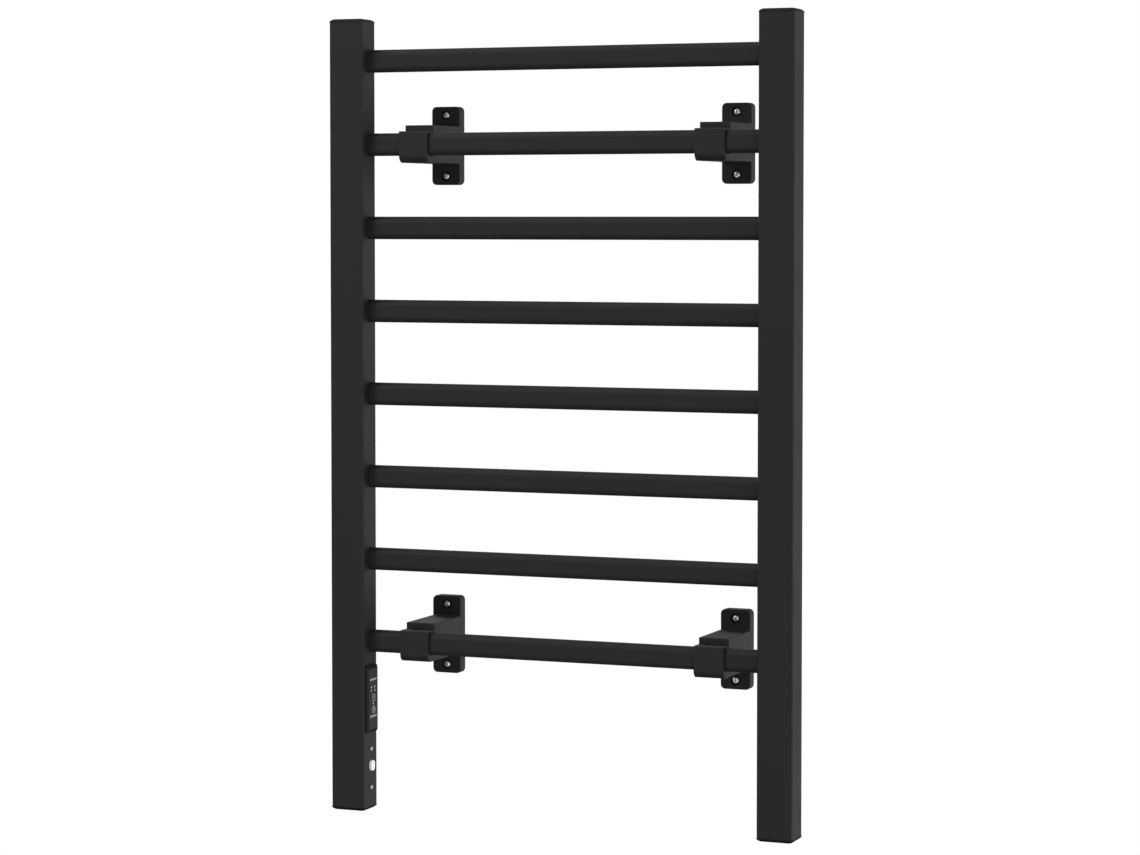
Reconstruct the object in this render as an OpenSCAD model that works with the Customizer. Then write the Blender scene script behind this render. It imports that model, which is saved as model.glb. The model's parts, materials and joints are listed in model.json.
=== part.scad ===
// Electric towel warmer rack: two upright posts, eight flat bars, four wall
// brackets that hook over the bars, and a control module on the left post.
// Millimetres. +Z is up, the front faces -Y and the wall is the plane Y = 0.
// The origin is the middle of the wall screw pattern, in the plane of the wall.

/* [Rack] */
// Width over both posts
rack_w = 516; // [440:1:640]
// Distance between the centre lines of neighbouring bars
bar_pitch = 88; // [80:1:110]
// Distance from the wall to the middle of the bars
wall_to_bar = 89.5; // [82:0.5:120]

/* [Posts] */
// Width of a post, seen from the front
post_w = 38.4; // [36:0.2:50]
// Depth of a post, from front to back
post_d = 32; // [30:0.5:44]
// Wall thickness of a post
post_wall = 1.6; // [1.2:0.1:2.4]
// Outside radius of a post's long corners
post_corner_r = 2; // [0.6:0.1:3]
// Length of the posts above the middle of the top bar
post_above = 41; // [30:1:80]
// Length of the posts below the middle of the lowest bar
post_below = 178; // [176:1:260]
// Distance from a post's front face back to the middle of the bars
bar_set_back = 17.4; // [16:0.1:20]

/* [End caps] */
// How far a cap stands out past the post all round
cap_lip = 0.5; // [0.2:0.1:1.5]
// Height of a cap's upright rim
cap_rim_h = 1.1; // [0.8:0.1:3]
// Height of a cap's crown above its rim
cap_crown_h = 2.5; // [1:0.1:5]
// Width of the sloped border of the crown
cap_slope_w = 4.4; // [2:0.1:8]
// Depth of the skirt that plugs into the post
cap_skirt_h = 9; // [5:0.5:15]
// Wall thickness of the skirt
cap_skirt_wall = 1.6; // [1.2:0.1:2.5]

/* [Bars] */
// Height of a bar
bar_h = 24; // [20:0.5:30]
// Depth of a bar, front to back
bar_d = 12.5; // [10:0.1:14]
// Wall thickness of a bar
bar_wall = 1.4; // [1:0.1:2]
// How far a bar's end stands inside the post, from the post's inner face
bar_insert = 6.4; // [4:0.1:9]

/* [Bar anchors] */
// Thickness of an anchor block, along the bar
anchor_t = 11; // [9:0.5:13]
// Length of the spigot that fills the bar's end
spigot_l = 15; // [8:1:30]
// Diameter of the cable hole through an anchor
anchor_bore_d = 6; // [5:0.1:7]
// Thread diameter of the screws that hold the anchors
anchor_screw_d = 4; // [3:0.5:5]
// Depth of thread in an anchor
anchor_thread_l = 7.5; // [5:0.5:9]
// Head diameter of the screws that hold the anchors
anchor_head_d = 7.2; // [6.5:0.1:9]
// Head height of the screws that hold the anchors
anchor_head_h = 2.2; // [1.5:0.1:3]

/* [Brackets] */
// Width of a bracket: its wall plate, arm and hook
bracket_w = 32.6; // [28:0.2:44]
// Distance from the rack's middle to the middle of a bracket
bracket_x = 165; // [60:1:200]
// Height of a wall plate
plate_h = 84; // [80:1:120]
// Thickness of a wall plate
plate_t = 13; // [10:0.5:18]
// Corner radius of a wall plate
plate_corner_r = 5; // [2:0.5:9]
// Chamfer on the front edge of a wall plate
plate_chamfer = 0.8; // [0.4:0.1:2]
// Height of an arm above the middle of its bar
arm_above = 20.4; // [17:0.1:23]
// Height of an arm below the middle of its bar
arm_below = 19.4; // [18:0.1:23]
// Wall thickness around the hollow of an arm
arm_wall = 3.5; // [2.5:0.1:5]
// Length of the solid nose at the front of an arm
arm_nose_l = 20; // [17:1:26]
// Thickness of the rubber pad on an arm
pad_t = 1.2; // [0.8:0.1:2]
// Height of the rubber pad
pad_h = 15; // [8:1:20]

/* [Hooks] */
// Thickness of a hook in front of its bar
hook_wall = 2.2; // [1.6:0.1:4]
// Thickness of a hook's lip over its bar
hook_lip_t = 1.4; // [1:0.1:2]
// Radius of the lower front edge of a hook
hook_low_r = 8; // [3:0.5:10]
// Radius of the upper front edge of a hook
hook_top_r = 1.2; // [0.4:0.1:2]
// Width of the tongue and the tab that reach into the arm
tongue_w = 18; // [12:0.5:20]
// Length of the tongue under the arm
tongue_l = 15; // [13:0.5:16]
// Thickness of the tongue
tongue_t = 4; // [3:0.1:5]
// Length of the tab at the end of the lip
tab_l = 3; // [1.5:0.1:5]
// Thread diameter of a clamp screw
clamp_screw_d = 4; // [3:0.5:5]
// Length of a clamp screw above its tongue
clamp_screw_l = 9; // [6:0.5:12]

/* [Wall screws] */
// Distance between the two screws of a wall plate
wall_screw_gap = 65; // [62:0.5:66]
// Thread diameter of a wall screw
wall_screw_d = 4; // [3:0.1:5]
// Diameter of a wall screw's plain neck, inside the wall plate
wall_neck_d = 3.4; // [2.5:0.1:4]
// Length of a wall screw behind the wall plate
wall_screw_l = 32; // [20:1:60]
// Diameter of the recess for a wall screw's head
head_recess_d = 10.8; // [9.6:0.1:12]
// Depth of the recess for a wall screw's head
head_recess_l = 3; // [2:0.1:5]
// Diameter of a wall screw's head
wall_head_d = 8; // [7:0.1:9]
// Height of a wall screw's head
wall_head_h = 2.6; // [1.8:0.1:3.5]

/* [Control module] */
// Height of the control module
panel_h = 72; // [66:1:90]
// Width of the control module, front to back
panel_w = 24; // [23:0.5:27]
// How far the module stands out of the post
panel_proud = 4.1; // [3.5:0.1:7]
// Chamfer around the module's face
panel_chamfer = 1.2; // [0.5:0.1:1.5]
// Corner radius of the module's outline
panel_corner_r = 1; // [0.4:0.1:2]
// Distance from the lowest bar's middle down to the module's middle
panel_drop = 62; // [60:1:90]
// Distance from the post's front face to the module's front edge
panel_set_back = 2.5; // [2.2:0.1:5]
// Depth of the module's tray inside the post
tray_depth = 16; // [14:0.5:18]
// Wall thickness of the tray
tray_wall = 1.2; // [1:0.1:2]
// Ledge between the tray and the module's outline
tray_ledge = 2.2; // [1.9:0.1:3]
// Thickness of the face cover
face_t = 1.6; // [1:0.1:2]
// Border of the housing around the face cover
face_border = 1.4; // [1.2:0.1:2]
// Thickness of the circuit board
board_t = 1.6; // [1:0.1:2]
// Distance from the post's face back to the circuit board
board_set_back = 1.6; // [1.4:0.1:3]

/* [Keys and lights] */
// Diameter of a key
key_d = 9.6; // [8:0.1:10]
// Gap around a key
key_gap = 0.3; // [0.2:0.05:0.4]
// How far a key stands out of the face
key_proud = 0.35; // [0.1:0.05:1]
// How far the ears that keep a key in reach past its hole
key_ear = 0.8; // [0.5:0.1:1]
// Travel of a key
key_travel = 0.6; // [0.3:0.1:0.7]
// Height of the timer key above the module's middle
timer_key_z = 1.1; // [0.5:0.1:3]
// Height of the power key above the module's middle
power_key_z = -11.5; // [-14:0.1:-11]
// Diameter of a light guide
light_d = 1.8; // [1.2:0.1:2.4]
// Distance between the two columns of lights
light_gap_y = 8.4; // [5:0.1:10]
// Distance between the two rows of lights
light_gap_z = 3.6; // [3:0.1:5]
// Height of the lights above the module's middle
lights_z = 10.8; // [9.5:0.1:14]
// Thickness of the marks and strips let into the face
mark_t = 0.25; // [0.15:0.05:0.3]

/* [Inlet] */
// Distance from the lowest bar's middle down to the inlet
inlet_drop = 134; // [132:1:160]
// Distance from the post's front face to the middle of the inlet
inlet_set_back = 16.5; // [14:0.1:19]
// Radius of each of the inlet's two lobes
inlet_lobe_r = 4; // [3.5:0.1:5]
// Height of the inlet
inlet_h = 11.3; // [10:0.1:14]
// How far the inlet stands out of the post
inlet_proud = 3.2; // [2:0.1:5]
// Length of the inlet behind the post's face
inlet_l = 13; // [10:0.5:16]
// Distance between the two pins
pin_gap = 4.6; // [4:0.1:6]
// Diameter of a pin
pin_d = 1.5; // [1:0.1:1.8]
// Distance between the two screws of the inlet's carrier
carrier_screw_gap = 41.5; // [36:0.5:48]
// Distance from the middle of the carrier up to the inlet
carrier_offset = 2.8; // [0:0.1:5]
// Thickness of the inlet's carrier
carrier_t = 1.5; // [1:0.1:2.5]

/* [Cables] */
// Diameter of the heating cable
cable_d = 4; // [3:0.1:4.4]
// Bend radius of the heating cable
cable_bend_r = 11; // [9:0.5:12]
// Distance from the cable in the bars forward to the return lead
lead_offset = 7.5; // [6.5:0.1:8.5]
// Diameter of a supply wire
wire_d = 2.2; // [1.5:0.1:2.6]
// Bend radius of a supply wire
wire_bend_r = 4; // [3:0.5:5]

/* [Hidden] */

$fn = 48;
bar_count = 8;
upper_bar = 2;
lower_bar = 8;
eps = 0.01;

// Clearances
slip = 0.15;        // pieces of one assembly that slide into each other
run = 0.3;          // pieces that move past each other
thread_slip = 0.05; // a screw's shank in its thread
past = 1;           // how far a cutting shape runs past the face it cuts

black_coat = [0.13, 0.13, 0.135];
black_plastic = [0.09, 0.09, 0.095];
face_black = [0.16, 0.16, 0.165];
grey_metal = [0.62, 0.62, 0.64];
bright_steel = [0.8, 0.8, 0.82];
pin_brass = [0.75, 0.7, 0.55];
cable_grey = [0.45, 0.45, 0.47];
board_green = [0.05, 0.3, 0.14];
legend_grey = [0.72, 0.72, 0.74];
white_plastic = [0.93, 0.93, 0.92];
rubber_black = [0.06, 0.06, 0.06];

// Places worked out from the sizes above
middle_bar = (upper_bar + lower_bar) / 2;
bar_y = -wall_to_bar;
post_front_y = bar_y - bar_set_back;
post_y = post_front_y + post_d / 2;
inner_x = rack_w / 2 - post_w;
post_top = bar_z(1) + post_above;
post_bottom = bar_z(bar_count) - post_below;
cavity_w = post_w - 2 * post_wall;
cavity_d = post_d - 2 * post_wall;
cavity_back_y = post_front_y + post_d - post_wall;
post_corner_in_r = max(post_corner_r - post_wall, 0.3);
bar_end_x = inner_x + bar_insert;
anchor_back_x = bar_end_x + anchor_t;
anchor_mid_x = bar_end_x + anchor_t / 2;

arm_front_y = bar_y + bar_d / 2 + run + pad_t;
hook_front_y = bar_y - bar_d / 2 - run - hook_wall;
hook_lip_z = bar_h / 2 + run;
clamp_head_d = 7;
clamp_head_h = 2;
hex_socket_d = 3.4;
hex_socket_l = 1.4;
screw_floor_y = -plate_t + head_recess_l;

panel_z = bar_z(bar_count) - panel_drop;
panel_y = post_front_y + panel_set_back + panel_w / 2;
tray_w = panel_w - 2 * tray_ledge;
tray_h = panel_h - 2 * tray_ledge;
face_w = panel_w - 2 * face_border;
face_h = panel_h - 2 * face_border;
face_back = panel_proud - face_t;
board_back = -board_set_back - board_t;
strip_w = 16;
strip_h = 2.2;
strip_above = 10; // from the lights up to the upper strip
strip_below = 7;  // from the power key down to the lower strip
mark_ring_d = 8;
mark_line = 0.7;
switch_h = 1.8;
switch_w = 6;
key_ear_t = 0.9;
key_ear_h = 5;
stem_d = 3;
stem_gap = 0.2;     // left below a key's stem when the key is pressed home
switch_floor = 0.3; // thickness of a switch's floor
terminal_w = 14;
terminal_h = 10;
terminal_t = 9;
terminal_z = 20;    // middle of a terminal block, from the module's middle
terminal_back = board_back - terminal_t;

inlet_z = bar_z(bar_count) - inlet_drop;
inlet_y = post_front_y + inlet_set_back;
inlet_lobe_gap = inlet_h - 2 * inlet_lobe_r;
barrel_step = 0.8;
pin_sunk = 0.4; // how far the pins' ends lie behind the inlet's face
clip_w = 14;
clip_h = 17;
clip_t = 1;
carrier_z = inlet_z - carrier_offset;
carrier_w = 16;
carrier_end = 7;
carrier_screw_d = 3;
carrier_head_d = 5.4;
carrier_head_h = 2;
carrier_screw_end = 2; // how far a carrier screw stands behind the carrier

cable_x = anchor_back_x + cable_bend_r;
lead_y = bar_y - lead_offset;
cable_end_z = panel_z + terminal_z;
// where the lead turns into the bars' plane, below the top bar
lead_turn_start = bar_pitch * 0.62;
lead_turn_end = bar_pitch * 0.34;
wire_gap = 3;

module_x = -inner_x; // the inner face of the left post, which carries the module

// Height of the middle of bar number i, counted from the top
function bar_z(i) = (middle_bar - i) * bar_pitch;

// ---------------------------------------------------------------- outlines

// Rectangle with round corners, centred
module round_rect(w, h, r) {
    square([w - 2 * r, h], center = true);
    square([w, h - 2 * r], center = true);
    for (x = [-1, 1], y = [-1, 1])
        translate([x * (w / 2 - r), y * (h / 2 - r)])
            circle(r);
}

// Flat bar with full-round edges, tall along the second axis
module flat_oval(d, h) {
    square([d, h - d], center = true);
    for (s = [-1, 1])
        translate([0, s * (h - d) / 2])
            circle(d / 2);
}

// Two round lobes one above the other
module two_lobes(r, gap) {
    for (s = [-1, 1])
        translate([0, s * gap / 2])
            circle(r);
}

// Lays an outline in the Y-Z plane and extrudes it along +X from x0 by l
module along_x(x0, l) {
    translate([x0, 0, 0])
        rotate([90, 0, 90])
            linear_extrude(l)
                children();
}

// Puts children on the left or the right side of the rack
module on_side(side) {
    if (side > 0) children();
    else mirror([1, 0, 0]) children();
}

// ---------------------------------------------------------------- posts

module post_tube() {
    translate([rack_w / 2 - post_w / 2, post_y, post_bottom])
        linear_extrude(post_top - post_bottom)
            difference() {
                round_rect(post_w, post_d, post_corner_r);
                round_rect(cavity_w, cavity_d, post_corner_in_r);
            }
}

// Slots in the inner wall for the bars and screw holes in the back wall
module post_cuts() {
    for (i = [1 : bar_count]) {
        translate([0, bar_y, bar_z(i)])
            along_x(inner_x - past, post_wall + 2 * past)
                flat_oval(bar_d + 2 * slip, bar_h + 2 * slip);
        translate([anchor_mid_x, cavity_back_y - past, bar_z(i)])
            rotate([-90, 0, 0])
                cylinder(d = anchor_screw_d + 2 * slip, h = post_wall + 2 * past);
    }
}

module right_post() {
    color(black_coat)
        difference() {
            post_tube();
            post_cuts();
        }
}

module left_post() {
    color(black_coat)
        difference() {
            on_side(-1)
                difference() {
                    post_tube();
                    post_cuts();
                }
            translate([0, panel_y, panel_z])
                along_x(module_x - post_wall - past, post_wall + 2 * past)
                    square([tray_w + 2 * slip, tray_h + 2 * slip], center = true);
            translate([0, inlet_y, inlet_z])
                along_x(module_x - post_wall - past, post_wall + 2 * past)
                    two_lobes(inlet_lobe_r - barrel_step + slip, inlet_lobe_gap);
            for (s = [-1, 1])
                translate([0, inlet_y, carrier_z + s * carrier_screw_gap / 2])
                    along_x(module_x - post_wall - past, post_wall + 2 * past)
                        circle(d = carrier_screw_d + 2 * slip);
        }
}

// ---------------------------------------------------------------- end caps

// A cap that stands on a post's end at z = 0 with its crown towards +Z
module cap() {
    lip_w = post_w + 2 * cap_lip;
    lip_d = post_d + 2 * cap_lip;
    lip_r = post_corner_r + cap_lip;
    skirt_w = cavity_w - 2 * slip;
    skirt_d = cavity_d - 2 * slip;
    // the crown's steps: share of its height, share of its slope
    crown_steps = [[0.62, 0.35], [0.9, 0.65], [1, 1]];
    color(black_plastic)
        translate([rack_w / 2 - post_w / 2, post_y, 0]) {
            hull() {
                linear_extrude(cap_rim_h)
                    round_rect(lip_w, lip_d, lip_r, $fn = 32);
                for (step = crown_steps)
                    let (inset = 2 * cap_slope_w * step[1])
                    translate([0, 0, cap_rim_h])
                        linear_extrude(cap_crown_h * step[0])
                            round_rect(lip_w - inset, lip_d - inset, lip_r, $fn = 32);
            }
            translate([0, 0, -cap_skirt_h])
                linear_extrude(cap_skirt_h + eps)
                    difference() {
                        round_rect(skirt_w, skirt_d, post_corner_in_r);
                        square([skirt_w - 2 * cap_skirt_wall, skirt_d - 2 * cap_skirt_wall], center = true);
                    }
        }
}

module cap_at(side, top) {
    on_side(side)
        if (top)
            translate([0, 0, post_top]) cap();
        else
            translate([0, 0, post_bottom]) mirror([0, 0, 1]) cap();
}

module cap_top_left() { cap_at(-1, true); }
module cap_top_right() { cap_at(1, true); }
module cap_bottom_left() { cap_at(-1, false); }
module cap_bottom_right() { cap_at(1, false); }

// ---------------------------------------------------------------- bars

module bar(i) {
    color(black_coat)
        translate([0, bar_y, bar_z(i)])
            along_x(-bar_end_x, 2 * bar_end_x)
                difference() {
                    flat_oval(bar_d, bar_h);
                    flat_oval(bar_d - 2 * bar_wall, bar_h - 2 * bar_wall);
                }
}

// ---------------------------------------------------------------- anchors

// Block behind the bar's end, with a spigot in the bar and a hole for the cable
module anchor() {
    block_front_y = bar_y - bar_d / 2;
    color(grey_metal)
        difference() {
            union() {
                translate([bar_end_x, block_front_y, -bar_h / 2])
                    cube([anchor_t, cavity_back_y - block_front_y, bar_h]);
                translate([0, bar_y, 0])
                    along_x(bar_end_x - spigot_l, spigot_l + past)
                        flat_oval(bar_d - 2 * bar_wall - 2 * slip, bar_h - 2 * bar_wall - 2 * slip);
            }
            translate([0, bar_y, 0])
                along_x(bar_end_x - spigot_l - past, spigot_l + anchor_t + 2 * past)
                    circle(d = anchor_bore_d);
            translate([anchor_mid_x, cavity_back_y - anchor_thread_l, 0])
                rotate([-90, 0, 0])
                    cylinder(d = anchor_screw_d, h = anchor_thread_l + past);
        }
}

module anchors(side) {
    on_side(side)
        for (i = [1 : bar_count])
            translate([0, 0, bar_z(i)])
                anchor();
}

module anchors_left() { anchors(-1); }
module anchors_right() { anchors(1); }

// Screw along Y: shank from y = 0 inwards (-Y), round-edged head outside (+Y)
module pan_screw(d, l, head_d, head_h) {
    edge_r = head_h * 0.45;
    color(bright_steel)
        difference() {
            rotate([90, 0, 0])
                rotate_extrude()
                    union() {
                        square([d / 2 - thread_slip, l]);
                        translate([0, edge_r - head_h])
                            square([head_d / 2, head_h - edge_r]);
                        translate([0, -head_h])
                            square([head_d / 2 - edge_r, head_h]);
                        translate([head_d / 2 - edge_r, edge_r - head_h])
                            circle(edge_r);
                    }
            cross_recess(head_d / 2, head_h);
        }
}

// Cross-shaped driver recess in a head whose top lies at y = head_h
module cross_recess(w, head_h) {
    slot = w / 4;
    depth = head_h * 0.6;
    for (a = [0, 90])
        rotate([0, a, 0])
            translate([-w / 2, head_h - depth, -slot / 2])
                cube([w, depth + past, slot]);
}

module anchor_screws(side) {
    on_side(side)
        for (i = [1 : bar_count])
            translate([anchor_mid_x, cavity_back_y + post_wall, bar_z(i)])
                pan_screw(anchor_screw_d, post_wall + anchor_thread_l - run, anchor_head_d, anchor_head_h);
}

module anchor_screws_left() { anchor_screws(-1); }
module anchor_screws_right() { anchor_screws(1); }

// ---------------------------------------------------------------- cables

// Points of a path whose corners are rounded with radius r, as [point, ...]
function unit(v) = v / norm(v);
function corner_arc(a, b, c, r, n) =
    let (
        u = unit(a - b),
        v = unit(c - b),
        half = acos(u * v) / 2,
        reach = r / tan(half),
        mid = b + unit(u + v) * r / sin(half),
        from = b + u * reach - mid,
        to = b + v * reach - mid,
        sweep = 180 - 2 * half
    )
    [for (k = [0 : n])
        mid + (from * sin(sweep * (1 - k / n)) + to * sin(sweep * k / n)) / sin(sweep)];

function rounded_path(p, r, n) = [
    p[0],
    for (k = [1 : len(p) - 2])
        each corner_arc(p[k - 1], p[k], p[k + 1], r, n),
    p[len(p) - 1]
];

// Round tube of diameter d swept along the points p
module swept_tube(p, d, sides = 8) {
    last = len(p) - 1;
    rings = [for (k = [0 : last])
        let (
            t = k == 0 ? unit(p[1] - p[0])
                : k == last ? unit(p[last] - p[last - 1])
                : unit(unit(p[k] - p[k - 1]) + unit(p[k + 1] - p[k])),
            u = unit([0, 1, 0] - t * t[1]),
            v = cross(t, u)
        )
        [for (s = [0 : sides - 1])
            p[k] + (u * cos(360 * s / sides) + v * sin(360 * s / sides)) * d / 2]];
    polyhedron(
        points = [for (ring = rings) each ring],
        faces = [
            [for (s = [sides - 1 : -1 : 0]) s],
            [for (s = [0 : sides - 1]) last * sides + s],
            for (k = [0 : last - 1], s = [0 : sides - 1])
                let (n = (s + 1) % sides)
                [k * sides + s, k * sides + n, (k + 1) * sides + n, (k + 1) * sides + s]
        ],
        convexity = 10
    );
}

// The corners of the cable's way: up the left post, to and fro through the bars
function cable_corners() = [
    [module_x + terminal_back, lead_y, cable_end_z],
    [-cable_x, lead_y, cable_end_z],
    [-cable_x, lead_y, bar_z(1) - lead_turn_start],
    [-cable_x, bar_y, bar_z(1) - lead_turn_end],
    for (i = [1 : bar_count], end = [0, 1])
        let (goes_right = (i % 2 == 1))
        [(goes_right == (end == 0) ? -1 : 1) * cable_x, bar_y, bar_z(i)],
    [-cable_x, bar_y, cable_end_z],
    [module_x + terminal_back, bar_y, cable_end_z]
];

module heating_cable() {
    color(cable_grey)
        swept_tube(rounded_path(cable_corners(), cable_bend_r, n = 3), cable_d);
}

// Capsule around the return lead, between the two lowest bars
module thermal_cutout() {
    capsule_l = 22;
    capsule_wall = 1.8;
    capsule_z = (bar_z(bar_count) + bar_z(bar_count - 1)) / 2;
    color(white_plastic)
        translate([-cable_x, lead_y, capsule_z])
            difference() {
                cylinder(r = cable_d / 2 + capsule_wall, h = capsule_l, center = true);
                cylinder(r = cable_d / 2 + slip / 2, h = capsule_l + 2 * past, center = true);
            }
}

// Two wires from the inlet's pins up to the lower terminal block
module supply_leads() {
    wire_end_z = panel_z - terminal_z;
    start_x = module_x - inlet_l;
    for (s = [-1, 1])
        let (
            pin_z = inlet_z + s * pin_gap / 2,
            end_z = wire_end_z - s * wire_gap,
            out_x = module_x - tray_depth - wire_bend_r - wire_gap + s * wire_gap
        )
        color(s > 0 ? "saddlebrown" : "steelblue")
            swept_tube(rounded_path([
                [start_x, inlet_y, pin_z],
                [out_x, inlet_y, pin_z],
                [out_x, inlet_y, end_z],
                [module_x + terminal_back, inlet_y, end_z]
            ], wire_bend_r, n = 4), wire_d);
}

// ---------------------------------------------------------------- control module

// Puts children at the module's middle on the post's face, +X outwards
module at_module() {
    translate([module_x, panel_y, panel_z])
        children();
}

module control_housing() {
    color(black_plastic)
        at_module()
            difference() {
                union() {
                    hull() {
                        along_x(0, panel_proud - panel_chamfer)
                            round_rect(panel_w, panel_h, panel_corner_r, $fn = 32);
                        along_x(0, panel_proud)
                            square([panel_w - 2 * panel_chamfer, panel_h - 2 * panel_chamfer],
                                   center = true);
                    }
                    along_x(-tray_depth, tray_depth + past)
                        square([tray_w, tray_h], center = true);
                }
                along_x(-tray_depth + tray_wall, tray_depth + panel_proud)
                    square([tray_w - 2 * tray_wall, tray_h - 2 * tray_wall], center = true);
                along_x(face_back, face_t + past)
                    square([face_w, face_h], center = true);
                // holes in the tray's back for the cable's two ends
                for (y = [lead_y, bar_y])
                    translate([0, y - panel_y, terminal_z])
                        along_x(-tray_depth - past, tray_wall + 2 * past)
                            circle(d = cable_d + 2 * run);
                // holes for the two supply wires
                for (s = [-1, 1])
                    translate([0, inlet_y - panel_y, -terminal_z - s * wire_gap])
                        along_x(-tray_depth - past, tray_wall + 2 * past)
                            circle(d = wire_d + 2 * run);
            }
}

module control_face() {
    color(face_black)
        at_module()
            difference() {
                along_x(face_back, face_t)
                    square([face_w - 2 * slip, face_h - 2 * slip], center = true);
                for (z = [timer_key_z, power_key_z])
                    translate([0, 0, z])
                        along_x(face_back - past, face_t + 2 * past)
                            circle(d = key_d + 2 * key_gap);
                for (p = light_places())
                    translate([0, p[0], p[1]])
                        along_x(face_back - past, face_t + 2 * past)
                            circle(d = light_d + 2 * slip);
                for (z = strip_places())
                    translate([0, 0, z])
                        along_x(panel_proud - mark_t, mark_t + past)
                            square([strip_w, strip_h], center = true);
            }
}

// The two strips on the face: above the lights and below the power key
function strip_places() = [lights_z + strip_above, power_key_z - strip_below];

// Four lights in two rows and one light between the keys
function light_places() = [
    for (y = [-1, 1], z = [-1, 1])
        [y * light_gap_y / 2, lights_z + z * light_gap_z / 2],
    [0, (timer_key_z + power_key_z) / 2]
];

module indicator_lights() {
    color(white_plastic)
        at_module()
            for (p = light_places())
                translate([0, p[0], p[1]])
                    along_x(-board_set_back, board_set_back + panel_proud)
                        circle(d = light_d);
}

module face_strips() {
    color(legend_grey)
        at_module()
            for (z = strip_places())
                translate([0, 0, z])
                    along_x(panel_proud - mark_t, mark_t)
                        square([strip_w - slip, strip_h - slip], center = true);
}

module circuit_board() {
    peg_d = 3;
    peg_l = tray_depth - tray_wall + board_back;
    board_w = tray_w - 2 * tray_wall - 2 * slip;
    board_h = tray_h - 2 * tray_wall - 2 * slip;
    color(board_green)
        at_module() {
            along_x(board_back, board_t)
                square([board_w, board_h], center = true);
            // spacers that stand on the tray's back
            for (y = [-1, 1], z = [-1, 1])
                translate([0, y * (board_w / 2 - peg_d / 2), z * (board_h / 2 - peg_d / 2)])
                    along_x(-tray_depth + tray_wall, peg_l + eps)
                        circle(d = peg_d);
        }
}

module switch_bodies() {
    color("dimgray")
        at_module()
            for (z = [timer_key_z, power_key_z])
                translate([0, 0, z])
                    difference() {
                        along_x(-board_set_back, switch_h)
                            square(switch_w, center = true);
                        along_x(-board_set_back + switch_floor, switch_h)
                            circle(d = stem_d + 2 * run);
                    }
}

module power_relay() {
    relay_t = 9.5;
    relay_w = 12;
    relay_h = 18;
    color("royalblue")
        at_module()
            along_x(board_back - relay_t, relay_t)
                square([relay_w, relay_h], center = true);
}

module terminal_blocks() {
    color("seagreen")
        at_module()
            for (s = [-1, 1])
                translate([0, 0, s * terminal_z])
                    along_x(terminal_back, terminal_t)
                        square([terminal_w, terminal_h], center = true);
}

// Key with two retaining ears and a stem that stands in its switch
module key(z) {
    key_front = panel_proud + key_proud;
    ear_front = face_back - run;
    ear_back = ear_front - key_ear_t;
    stem_back = -board_set_back + switch_floor + key_travel + stem_gap;
    color(face_black)
        at_module()
            translate([0, 0, z])
                difference() {
                    union() {
                        along_x(ear_back, key_front - ear_back)
                            circle(d = key_d);
                        along_x(ear_back, key_ear_t)
                            intersection() {
                                circle(d = key_d + 2 * key_gap + 2 * key_ear);
                                square([2 * key_d, key_ear_h], center = true);
                            }
                        along_x(stem_back, ear_front - stem_back)
                            circle(d = stem_d);
                    }
                    // seat of the mark in the key's front
                    along_x(key_front - mark_t, mark_t + past)
                        mark_ring(slip / 2);
                }
}

// Ring let into the front of a key
module mark_ring(grow) {
    difference() {
        circle(d = mark_ring_d + 2 * grow);
        circle(d = mark_ring_d - 2 * mark_line - 2 * grow);
    }
}

module timer_button() { key(timer_key_z); }
module power_button() { key(power_key_z); }

// Ring with a glyph inside it, let into the front of a key
module mark(z) {
    color(legend_grey)
        at_module()
            translate([0, 0, z]) {
                along_x(panel_proud + key_proud - mark_t, mark_t)
                    mark_ring(0);
                along_x(panel_proud + key_proud, mark_t / 2)
                    children();
            }
}

// Two clock hands
module timer_mark() {
    hand = mark_ring_d * 0.28;
    mark(timer_key_z) {
        translate([-mark_line / 2, -mark_line / 2])
            square([mark_line, hand]);
        translate([-mark_line / 2, -mark_line / 2])
            square([hand, mark_line]);
    }
}

// Open ring with an upright stroke
module power_mark() {
    glyph_r = mark_ring_d * 0.27;
    arc_line = mark_line * 0.75;
    stroke_w = mark_line * 0.6;
    stroke_low = glyph_r * 0.15;
    mark(power_key_z) {
        difference() {
            circle(glyph_r);
            circle(glyph_r - arc_line);
            translate([-mark_line, 0])
                square([2 * mark_line, glyph_r + past]);
        }
        translate([-stroke_w / 2, stroke_low])
            square([stroke_w, glyph_r]);
    }
}

// ---------------------------------------------------------------- inlet

module at_inlet() {
    translate([module_x, inlet_y, inlet_z])
        children();
}

module inlet_body() {
    pin_hole_d = pin_d + 0.8;
    pin_hole_l = 3;
    color(white_plastic)
        at_inlet()
            difference() {
                union() {
                    along_x(0, inlet_proud)
                        two_lobes(inlet_lobe_r, inlet_lobe_gap);
                    along_x(-inlet_l, inlet_l + past)
                        two_lobes(inlet_lobe_r - barrel_step, inlet_lobe_gap);
                }
                for (s = [-1, 1])
                    translate([0, 0, s * pin_gap / 2]) {
                        along_x(-inlet_l - past, inlet_l + inlet_proud + 2 * past)
                            circle(d = pin_d);
                        along_x(inlet_proud - pin_hole_l, pin_hole_l + past)
                            circle(d = pin_hole_d);
                    }
            }
}

module inlet_pins() {
    color(pin_brass)
        at_inlet()
            for (s = [-1, 1])
                translate([0, 0, s * pin_gap / 2])
                    along_x(-inlet_l, inlet_l + inlet_proud - pin_sunk)
                        circle(d = pin_d - 2 * thread_slip);
}

// Push-on plate that grips the inlet behind its carrier
module inlet_clip() {
    color(bright_steel)
        at_inlet()
            difference() {
                along_x(-post_wall - carrier_t - clip_t, clip_t)
                    square([clip_w, clip_h], center = true);
                along_x(-post_wall - carrier_t - clip_t - past, clip_t + 2 * past)
                    two_lobes(inlet_lobe_r - barrel_step + thread_slip, inlet_lobe_gap);
            }
}

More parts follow.
